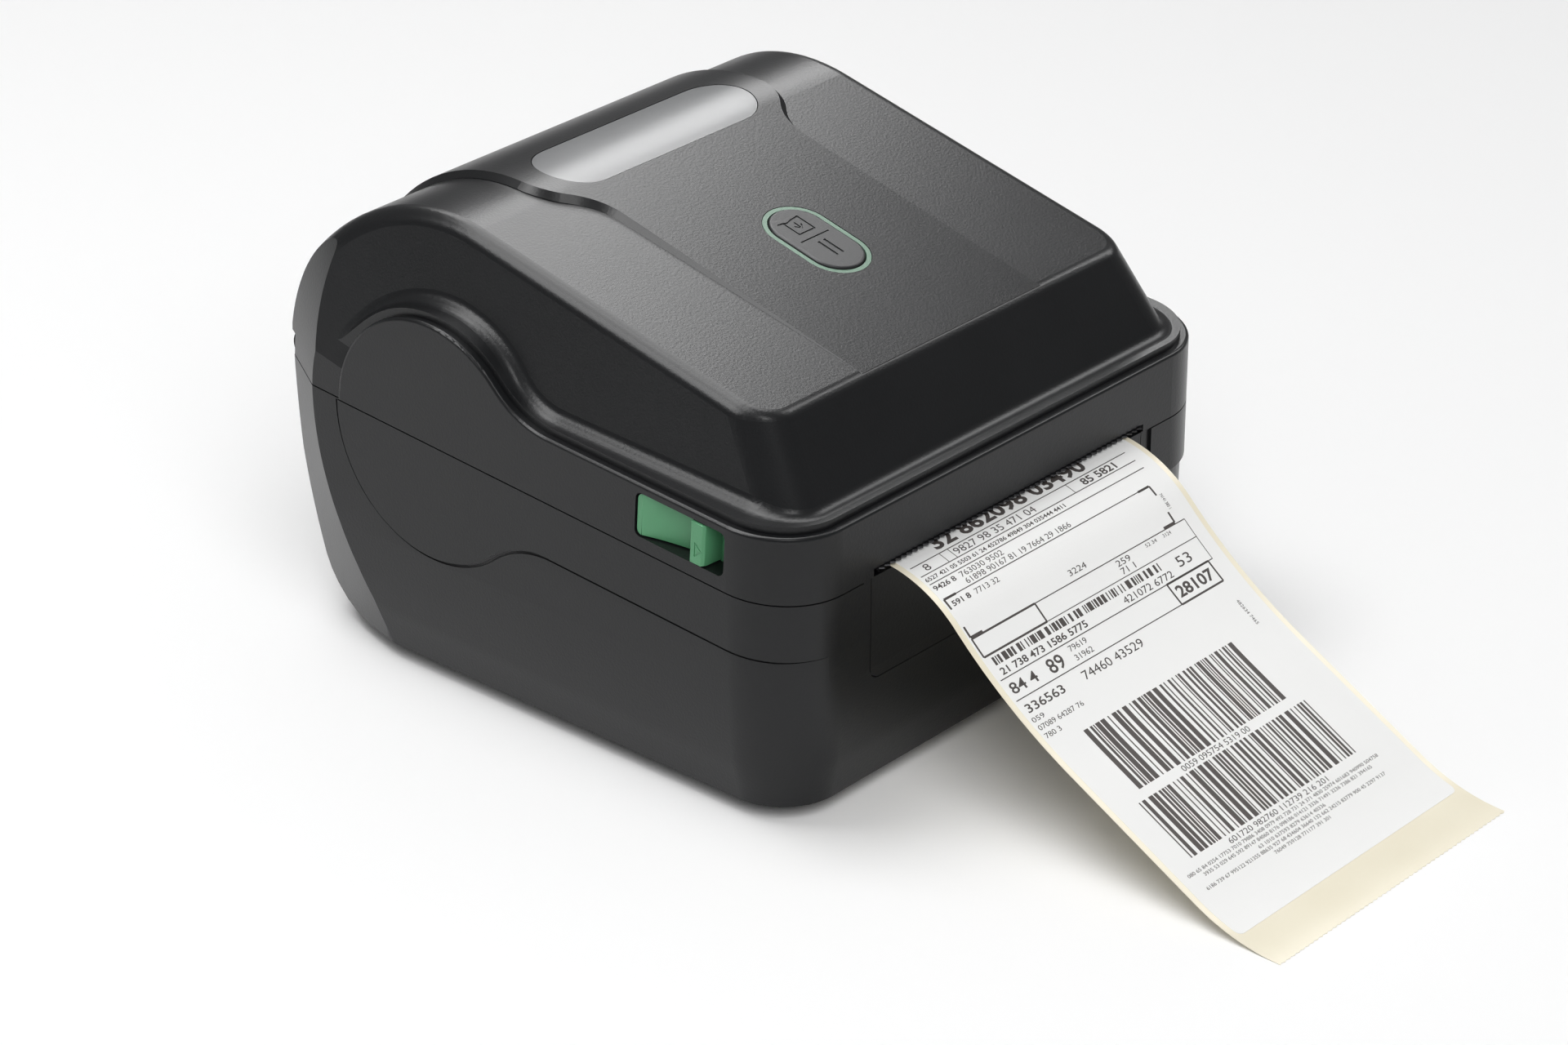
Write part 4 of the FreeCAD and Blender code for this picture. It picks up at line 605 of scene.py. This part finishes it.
# %% Rules and bar codes
# All places are in mm: across from the label's middle, and along from the mark at the platen.
code_module = 0.45
lines = [rule(-49, 45, s) for s in (10, 14, 17.3, 36, 49.7)]
lines += [rule(-49, 41, 23), rule(-22, 45, 42, 0.25), rule(-49, 24, 56.7)]
lines += [post(x, 10, 14, 0.25) for x in (-37, -33.5, 18)]
lines += [post(x, s, s + 3.4, 0.7) for x in (-49, 41) for s in (23, 32.1)]
lines += [rule(x, x + 5, s, 0.7) for x in (-49, 36) for s in (23, 35.5)]
lines += [post(45, 36, 49.7, 0.25)]
lines += frame_lines(-49, -22, 36, 42, 0.6) + frame_lines(24, 43, 49.7, 56.7, 0.6)
draw = random.Random(41)
ink_group("print_lines", lines)
ink_group("print_code_small", bar_code(-47, 27, 43, 45.5, code_module, draw))
ink_group("print_code_upper", bar_code(-37, 30, 73, 95.2, code_module, draw))
ink_group("print_code_lower", bar_code(-41, 35, 98.4, 119, code_module, draw))
print("printed boxes:", sum(len(group.data.polygons) // 6 for group in ink_pieces))

# %% [markdown]
# ### The figures
# The rows of type are made-up numbers, set with Blender's own font. A text object has an extrude for its
# thickness and an offset that fattens the strokes for bold rows. Each row is turned into a mesh, stretched to
# the width and height it has on the label, and cut across where the paper bends under it.

# %% Rows of figures
# Each row: from and to across the label, its place along the label and its height, in mm, and its boldness.
ROWS = (
    (-36, 30, 6.2, 5.4, 0.09), (-45.5, -43.2, 12, 2.4, 0), (-32.5, 2, 12, 2.4, 0), (23, 38, 12, 2.6, 0.06),
    (-49, 11, 15.7, 1.4, 0.05), (-49, -40, 19, 1.7, 0.06), (-38, -20, 19, 1.8, 0), (-38, 7, 21.4, 1.8, 0),
    (-47.5, -40, 25.2, 1.7, 0.06), (-38, -28, 25.2, 1.7, 0), (-5, 2.5, 33.5, 1.8, 0),
    (12.5, 18.5, 37.8, 1.9, 0), (12.5, 18.5, 40.3, 1.9, 0), (26, 31, 37.3, 1.1, 0),
    (34, 37.5, 37.3, 1.1, 0), (-47, -10, 47.7, 2.2, 0.05), (6.5, 28.5, 47.7, 2.2, 0),
    (32.5, 38.5, 45.8, 3.2, 0), (-48, -37, 53.2, 3.4, 0.03), (-32, -25.5, 53.2, 4.4, 0.03),
    (-21.5, -14, 51.6, 1.8, 0), (-21.5, -14, 54.6, 1.8, 0), (25.5, 41.5, 53.2, 3.8, 0.07),
    (-48, -32, 60, 2.7, 0.03), (-23.5, 2.5, 60, 2.7, 0), (-49, -44, 63.5, 1.5, 0), (-49, -30, 66.2, 1.6, 0),
    (-49, -42.5, 69, 1.6, 0), (-20, 10, 96.8, 1.9, 0), (-26.5, 18, 120.8, 1.8, 0), (-47, 39, 122.9, 1.1, 0),
    (-42, 34, 124.7, 1.1, 0), (-20, 10, 126.6, 1.1, 0), (-45, 36, 128.4, 1.1, 0), (-17, 8, 130.3, 1.1, 0),
)
# Each row along the edge: its place across the label, from and to along it, in mm.
EDGE_ROWS = ((42.6, 26.5, 31.5), (42.3, 63.5, 72.5))
print("rows:", len(ROWS) + len(EDGE_ROWS))

# %% Helpers that set a row
BOLD_SHARE = 0.35
TYPE_MERGE = 2e-7


def numbers(count, draw):
    """Figures in groups of two to six."""
    row = ""
    while len(row) < count:
        row += "".join(draw.choice("0123456789") for _ in range(draw.randint(2, 6))) + " "
    return row[:max(count, 1)].strip()


def set_row(body, bold):
    """A thin mesh of type at the font's own size."""
    bpy.ops.object.select_all(action="DESELECT")
    bpy.ops.object.text_add(location=(0, 0, 0))
    row = bpy.context.object
    row.data.body = body
    row.data.resolution_u = 3
    row.data.extrude = 0.1
    row.data.offset = bold * BOLD_SHARE
    bpy.ops.object.convert(target="MESH")
    return bpy.context.object


def fit_row(row, x_from, x_to, s, cap, along=False):
    """Stretches a row of type into its place on the flat label."""
    low = Vector([min(v.co[i] for v in row.data.vertices) for i in range(3)])
    high = Vector([max(v.co[i] for v in row.data.vertices) for i in range(3)])
    span = high - low
    spans = ((x_to - x_from) / span.x, cap / span.y, ink_thick / span.z)
    fit = Matrix.Diagonal((*spans, 1)) @ Matrix.Translation(-(low + high) / 2)
    spot = Vector(((x_from + x_to) / 2, -(platen_mark + s), ink_middle))
    if along:
        fit = Matrix.Rotation(-math.pi / 2, 4, "Z") @ fit
        spot = Vector((s, -(platen_mark + (x_from + x_to) / 2), ink_middle))
    row.data.transform(Matrix.Scale(MM, 4) @ Matrix.Translation(spot) @ fit)
    bpy.ops.object.mode_set(mode="EDIT")
    bpy.ops.mesh.select_all(action="SELECT")
    bpy.ops.mesh.remove_doubles(threshold=TYPE_MERGE)
    ends = [-v.co.y / MM for v in bmesh.from_edit_mesh(row.data).verts]
    slice_across(min(ends), max(ends))
    bpy.ops.mesh.select_all(action="SELECT")
    bpy.ops.mesh.normals_make_consistent(inside=False)
    bpy.ops.object.mode_set(mode="OBJECT")
    ink_pieces.append(row)


print("points of type merge within mm:", round(TYPE_MERGE / MM, 4))

# %% Print the rows
FIGURE_PITCH = 0.84
EDGE_COUNT = 11
EDGE_CAP = 1.2
for x_from, x_to, s, cap, bold in ROWS:
    figures = numbers(round((x_to - x_from) / (FIGURE_PITCH * cap)), draw)
    fit_row(set_row(figures, bold), x_from, x_to, s, cap)
for x, s_from, s_to in EDGE_ROWS:
    fit_row(set_row(numbers(EDGE_COUNT, draw), 0), s_from, s_to, x, EDGE_CAP, along=True)
work_on(ink_pieces[0])
for piece in ink_pieces:
    piece.select_set(True)
bpy.ops.object.join()
label_print = bpy.context.object
label_print.name = "label_print"
bend(label_print, ink_black)
bpy.data.objects.remove(strip_path)
print("print faces:", len(label_print.data.polygons))

# %% [markdown]
# ## Marks on the button
# The feed button carries a sheet of paper with an arrow, two bars for a pause and a line between them, sunk
# into the moulding. A bump in the finish would only look sunk from one side, so the marks are cut: a box for
# each stroke, laid on the button's slope, and one Boolean on a merged copy of the button.

# %% Helpers that cut marks


def merged_copy(node, name):
    """A copy of a CAD node with its loose triangles merged, free to be cut."""
    piece = bpy.data.objects.new(name, nodes[node].data.copy())
    bpy.context.collection.objects.link(piece)
    work_on(piece)
    bpy.ops.object.mode_set(mode="EDIT")
    bpy.ops.mesh.select_all(action="SELECT")
    bpy.ops.mesh.remove_doubles(threshold=SAME_PLACE)
    bpy.ops.object.mode_set(mode="OBJECT")
    return piece


def stroke_cutter(strokes, deep):
    """Boxes along flat strokes, each a list of points with a width, all in mm."""
    bpy.ops.object.select_all(action="DESELECT")
    bpy.ops.object.add(type="MESH")
    cutter = bpy.context.object
    bpy.ops.object.mode_set(mode="EDIT")
    for wide, points in strokes:
        for a, b in zip(points, points[1:]):
            way = Vector(b) - Vector(a)
            middle = (Vector(a) + Vector(b)) / 2 * MM
            spans = ((way.length + wide) * MM, wide * MM, 2 * deep * MM)
            turn = math.atan2(way.y, way.x)
            bpy.ops.mesh.primitive_cube_add(
                size=1, location=(middle.x, middle.y, 0), rotation=(0, 0, turn), scale=spans)
    bpy.ops.object.mode_set(mode="OBJECT")
    return cutter


def cut_away(piece, cutter):
    """Takes a cutter out of a piece and removes the cutter."""
    work_on(piece)
    cut = piece.modifiers.new("cut", "BOOLEAN")
    cut.object = cutter
    cut.operation = "DIFFERENCE"
    cut.solver = "EXACT"
    cut.use_self = True
    bpy.ops.object.modifier_apply(modifier="cut")
    bpy.data.objects.remove(cutter)


print("faces of the plain button:", len(nodes["feed_button"].data.polygons))

# %% Cut the button's marks
button_low, button_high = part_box("feed_button")
button_slope = math.radians(13.82)
button_up = Vector((0, -math.sin(button_slope), math.cos(button_slope)))
button_reach = max(v.co.dot(button_up) for v in nodes["feed_button"].data.vertices)
button_y = (button_low.y + button_high.y) / 2
button_centre = Vector((0, button_y, (button_reach - button_y * button_up.y) / button_up.z))
sheet_mark = (
    (-3.2, 9.4), (-3.2, 3.0), (3.2, 3.0), (3.2, 9.8), (0.5, 9.5), (-2.2, 8.9), (-3.2, 9.4), (-5.0, 9.6))
arrow_mark = ((-1.3, 6.4), (0, 5.0), (1.3, 6.4))
arrow_shaft = ((0, 7.8), (0, 5.3))
middle_line = ((-5.6, 0), (5.6, 0))
sheet_wide = 0.55
line_wide = 0.5
pause_wide = 0.85
mark_deep = 0.3
button_strokes = [(sheet_wide, sheet_mark)]
button_strokes += [(line_wide, points) for points in (arrow_mark, arrow_shaft, middle_line)]
button_strokes += [(pause_wide, ((x, -2.8), (x, -9.4))) for x in (-1.2, 1.2)]
button_cutter = stroke_cutter(button_strokes, mark_deep)
button_cutter.data.transform(Matrix.Translation(button_centre) @ Matrix.Rotation(button_slope, 4, "X"))
marked_button = merged_copy("feed_button", "marked_button")
faces_before = len(marked_button.data.polygons)
cut_away(marked_button, button_cutter)
coat(marked_button, key_black)
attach(marked_button, "button")
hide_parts("feed_button")
print("button centre in mm:", [round(v / MM, 2) for v in button_centre])
print("button faces:", faces_before, "then", len(marked_button.data.polygons))

# %% [markdown]
# ## Arrows on the release tabs
# Each tab has a thumb rib, and an outlined arrow on the rib shows which way it slides. The same cutter is
# used on both sides: it is built flat, stood up against the rib's outer face and leaned with the seam.

# %% Cut the tabs' arrows
seam_lean = math.radians(3.926)
tab_arrow = ((3.4, 0), (1.2, 1.9), (1.2, -1.9), (3.4, 0))
arrow_wide = 0.4
arrow_deep = 0.25
arrow_drop = 8.1 * MM
rib_skin = 0.5 * MM
rib_crest = 1.0 * MM
for side, node, body in ((-1, "release_tab_left", "tab_l"), (1, "release_tab_right", "tab_r")):
    marked_tab = merged_copy(node, node + "_marked")
    outer_x = max(side * v.co.x for v in marked_tab.data.vertices)
    rib = [v.co for v in marked_tab.data.vertices if side * v.co.x > outer_x - rib_skin]
    rib_top = max(p.z for p in rib)
    rib_back = max(p.y for p in rib if p.z > rib_top - rib_crest)
    tab_cutter = stroke_cutter([(arrow_wide, tab_arrow)], arrow_deep)
    stand = Matrix(((0, 0, side, 0), (-1, 0, 0, 0), (0, 1, 0, 0), (0, 0, 0, 1)))
    spot = Vector((side * outer_x, rib_back, rib_top - arrow_drop))
    tab_cutter.data.transform(Matrix.Translation(spot) @ Matrix.Rotation(seam_lean, 4, "X") @ stand)
    faces_before = len(marked_tab.data.polygons)
    cut_away(marked_tab, tab_cutter)
    coat(marked_tab, touch_green)
    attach(marked_tab, body)
    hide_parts(node)
    print(node, "faces:", faces_before, "then", len(marked_tab.data.polygons))

# %% [markdown]
# ## The line on the base
# The belt and the disc on the printer's side stand a little proud, and below them the base is set back.
# Where they end, the moulding has a fine line that goes round the disc, swings up and runs to the front
# corner, where it fades. It could be drawn on with a bump, but an edge of the case should also be there in
# the mesh. So its path is drawn flat from runs and arcs, a Shrinkwrap modifier throws it sideways onto the
# base, the curve's bevel makes a wire of it, and the wire is taken out of a merged copy of the base as a
# groove. The cut loses the smooth shading, so it is set again: below the crease angle a surface is round.

# %% Cut the base's line
line_start = Vector((0, 69.4, 81.2)) * MM
line_runs = ((1.05, 0), (42.47, -64.8), (42.47, -64.8), (23.6, 43.53), (67.3, 0), (20.9, 0))
line_groove = 0.45 * MM
line_fade = 14
line_away = 97 * MM
crease_angle = math.radians(11.5)


def line_wire(side):
    """A wire along the line on one side of the base, thinner towards its front end."""
    line = draw_path("base_line", line_start, math.pi / 2, line_runs)
    work_on(line)
    bpy.ops.object.convert(target="MESH")
    line.data.transform(Matrix.Translation((side * line_away, 0, 0)))
    throw = line.modifiers.new("throw", "SHRINKWRAP")
    throw.target = nodes["base_shell"]
    throw.wrap_method = "PROJECT"
    throw.use_project_x = True
    throw.use_negative_direction = side > 0
    throw.use_positive_direction = side < 0
    bpy.ops.object.modifier_apply(modifier="throw")
    bpy.ops.object.convert(target="CURVE")
    chain = sorted(line.data.splines[0].points, key=lambda p: p.co.y)
    for k, point in enumerate(chain[:line_fade]):
        point.radius = (k + 1) / (line_fade + 1)
    line.data.bevel_depth = line_groove
    line.data.bevel_resolution = 2
    line.data.use_fill_caps = True
    bpy.ops.object.convert(target="MESH")
    return line


lined_base = merged_copy("base_shell", "lined_base")
faces_before = len(lined_base.data.polygons)
for side in (-1, 1):
    cut_away(lined_base, line_wire(side))
work_on(lined_base)
bpy.ops.mesh.customdata_custom_splitnormals_clear()
bpy.ops.object.shade_smooth_by_angle(angle=crease_angle)
even = lined_base.modifiers.new("even", "WEIGHTED_NORMAL")
even.keep_sharp = True
bpy.ops.object.modifier_apply(modifier="even")
coat(lined_base, case_black)
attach(lined_base, "base")
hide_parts("base_shell")
print("base faces:", faces_before, "then", len(lined_base.data.polygons))

# %% [markdown]
# ## The tear bar
# The strip is torn off against a row of steel teeth under the lid's front edge. The real bar is stamped from
# strip and bent to an angle. It starts here as a flat plate, the front edge gets its teeth in the way that
# the liner got its torn edge, and two extrudes give the plate its thickness and the flange that holds it.

# %% Bend the tear bar
bar_low, bar_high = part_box("tear_bar")
bar_teeth = 97
bar_reach = 103.1
bar_bite = 1.0
bar_thick = 0.5
bar_steel = finish(
    "bar_steel", (0.055, 0.055, 0.058), (0.085, 0.085, 0.09), (0.32, 0.42), drift=160, metal=1.0)
bpy.ops.object.select_all(action="DESELECT")
bpy.ops.mesh.primitive_plane_add(size=1)
toothed_bar = bpy.context.object
toothed_bar.name = "toothed_tear_bar"
bpy.ops.object.mode_set(mode="EDIT")
bpy.ops.mesh.select_all(action="SELECT")
bar_deep = bar_high.y + bar_reach * MM
bpy.ops.transform.resize(value=(bar_high.x - bar_low.x, bar_deep, 1))
bpy.ops.transform.translate(value=(0, bar_high.y - bar_deep / 2, bar_low.z))
tear_front(toothed_bar, bar_reach, bar_teeth, bar_bite)
bpy.ops.mesh.select_all(action="SELECT")
bpy.ops.mesh.bisect(plane_co=(0, bar_low.y, 0), plane_no=(0, 1, 0))
bpy.ops.mesh.select_all(action="SELECT")
bpy.ops.mesh.extrude_region_move(TRANSFORM_OT_translate={"value": (0, 0, bar_thick * MM)})
bar_mesh = bmesh.from_edit_mesh(toothed_bar.data)
near_top = bar_low.z + 0.9 * bar_thick * MM
for face in bar_mesh.faces:
    middle = face.calc_center_median()
    face.select_set(middle.z > near_top and middle.y > bar_low.y)
bmesh.update_edit_mesh(toothed_bar.data)
bar_rise = bar_high.z - bar_low.z - bar_thick * MM
bpy.ops.mesh.extrude_region_move(TRANSFORM_OT_translate={"value": (0, 0, bar_rise)})
bpy.ops.mesh.select_all(action="SELECT")
bpy.ops.mesh.normals_make_consistent(inside=False)
bpy.ops.object.mode_set(mode="OBJECT")
coat(toothed_bar, bar_steel)
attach(toothed_bar, "lid")
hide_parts("tear_bar")
print("tear bar faces:", len(toothed_bar.data.polygons), "teeth:", bar_teeth)

# %% [markdown]
# ## Springs over the print head
# Two springs under the lid press the print head onto the platen. The CAD model has a plain sleeve for each. A
# spring is wire wound on a rod, and the Screw modifier does the same with a small circle. On the printer both
# shorten towards their upper ends when the head gives way; here they keep their length and move with the lid.

# %% Wind the springs
spring_low, spring_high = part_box("head_springs")
spring_tall = spring_high.z - spring_low.z
spring_y = (spring_low.y + spring_high.y) / 2
spring_out = (spring_high.y - spring_low.y) / 2
wire = 0.4 * MM
end_room = 1.1 * wire
spring_turns = 7
coil_steps = 28
coil_smooth = math.radians(50)
bpy.ops.object.select_all(action="DESELECT")
bpy.ops.mesh.primitive_circle_add(vertices=10, radius=wire, rotation=(math.pi / 2, 0, 0))
coil = bpy.context.object
coil.location = (spring_out - wire, 0, 0)
bpy.ops.object.transform_apply(location=True, rotation=True, scale=True)
wind = coil.modifiers.new("wind", "SCREW")
wind.angle = 2 * math.pi
wind.steps = coil_steps
wind.render_steps = coil_steps
wind.iterations = spring_turns
wind.screw_offset = (spring_tall - 2 * end_room) / spring_turns
bpy.ops.object.modifier_apply(modifier="wind")
bpy.ops.object.mode_set(mode="EDIT")
bpy.ops.mesh.select_all(action="SELECT")
bpy.ops.mesh.fill_holes(sides=0)
bpy.ops.mesh.select_all(action="SELECT")
bpy.ops.mesh.normals_make_consistent(inside=False)
bpy.ops.object.mode_set(mode="OBJECT")
bpy.ops.object.shade_smooth_by_angle(angle=coil_smooth)
for tag, spring_x in (("left", spring_low.x + spring_out), ("right", spring_high.x - spring_out)):
    spring = bpy.data.objects.new("head_spring_" + tag, coil.data.copy())
    bpy.context.collection.objects.link(spring)
    spring.data.transform(Matrix.Translation((spring_x, spring_y, spring_low.z + end_room)))
    coat(spring, zinc)
    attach(spring, "lid")
    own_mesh(spring)
    if tag == "left":
        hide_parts("head_springs")
bpy.data.objects.remove(coil)
print("spring height in mm:", round(spring_tall / MM, 1), "turns:", spring_turns)
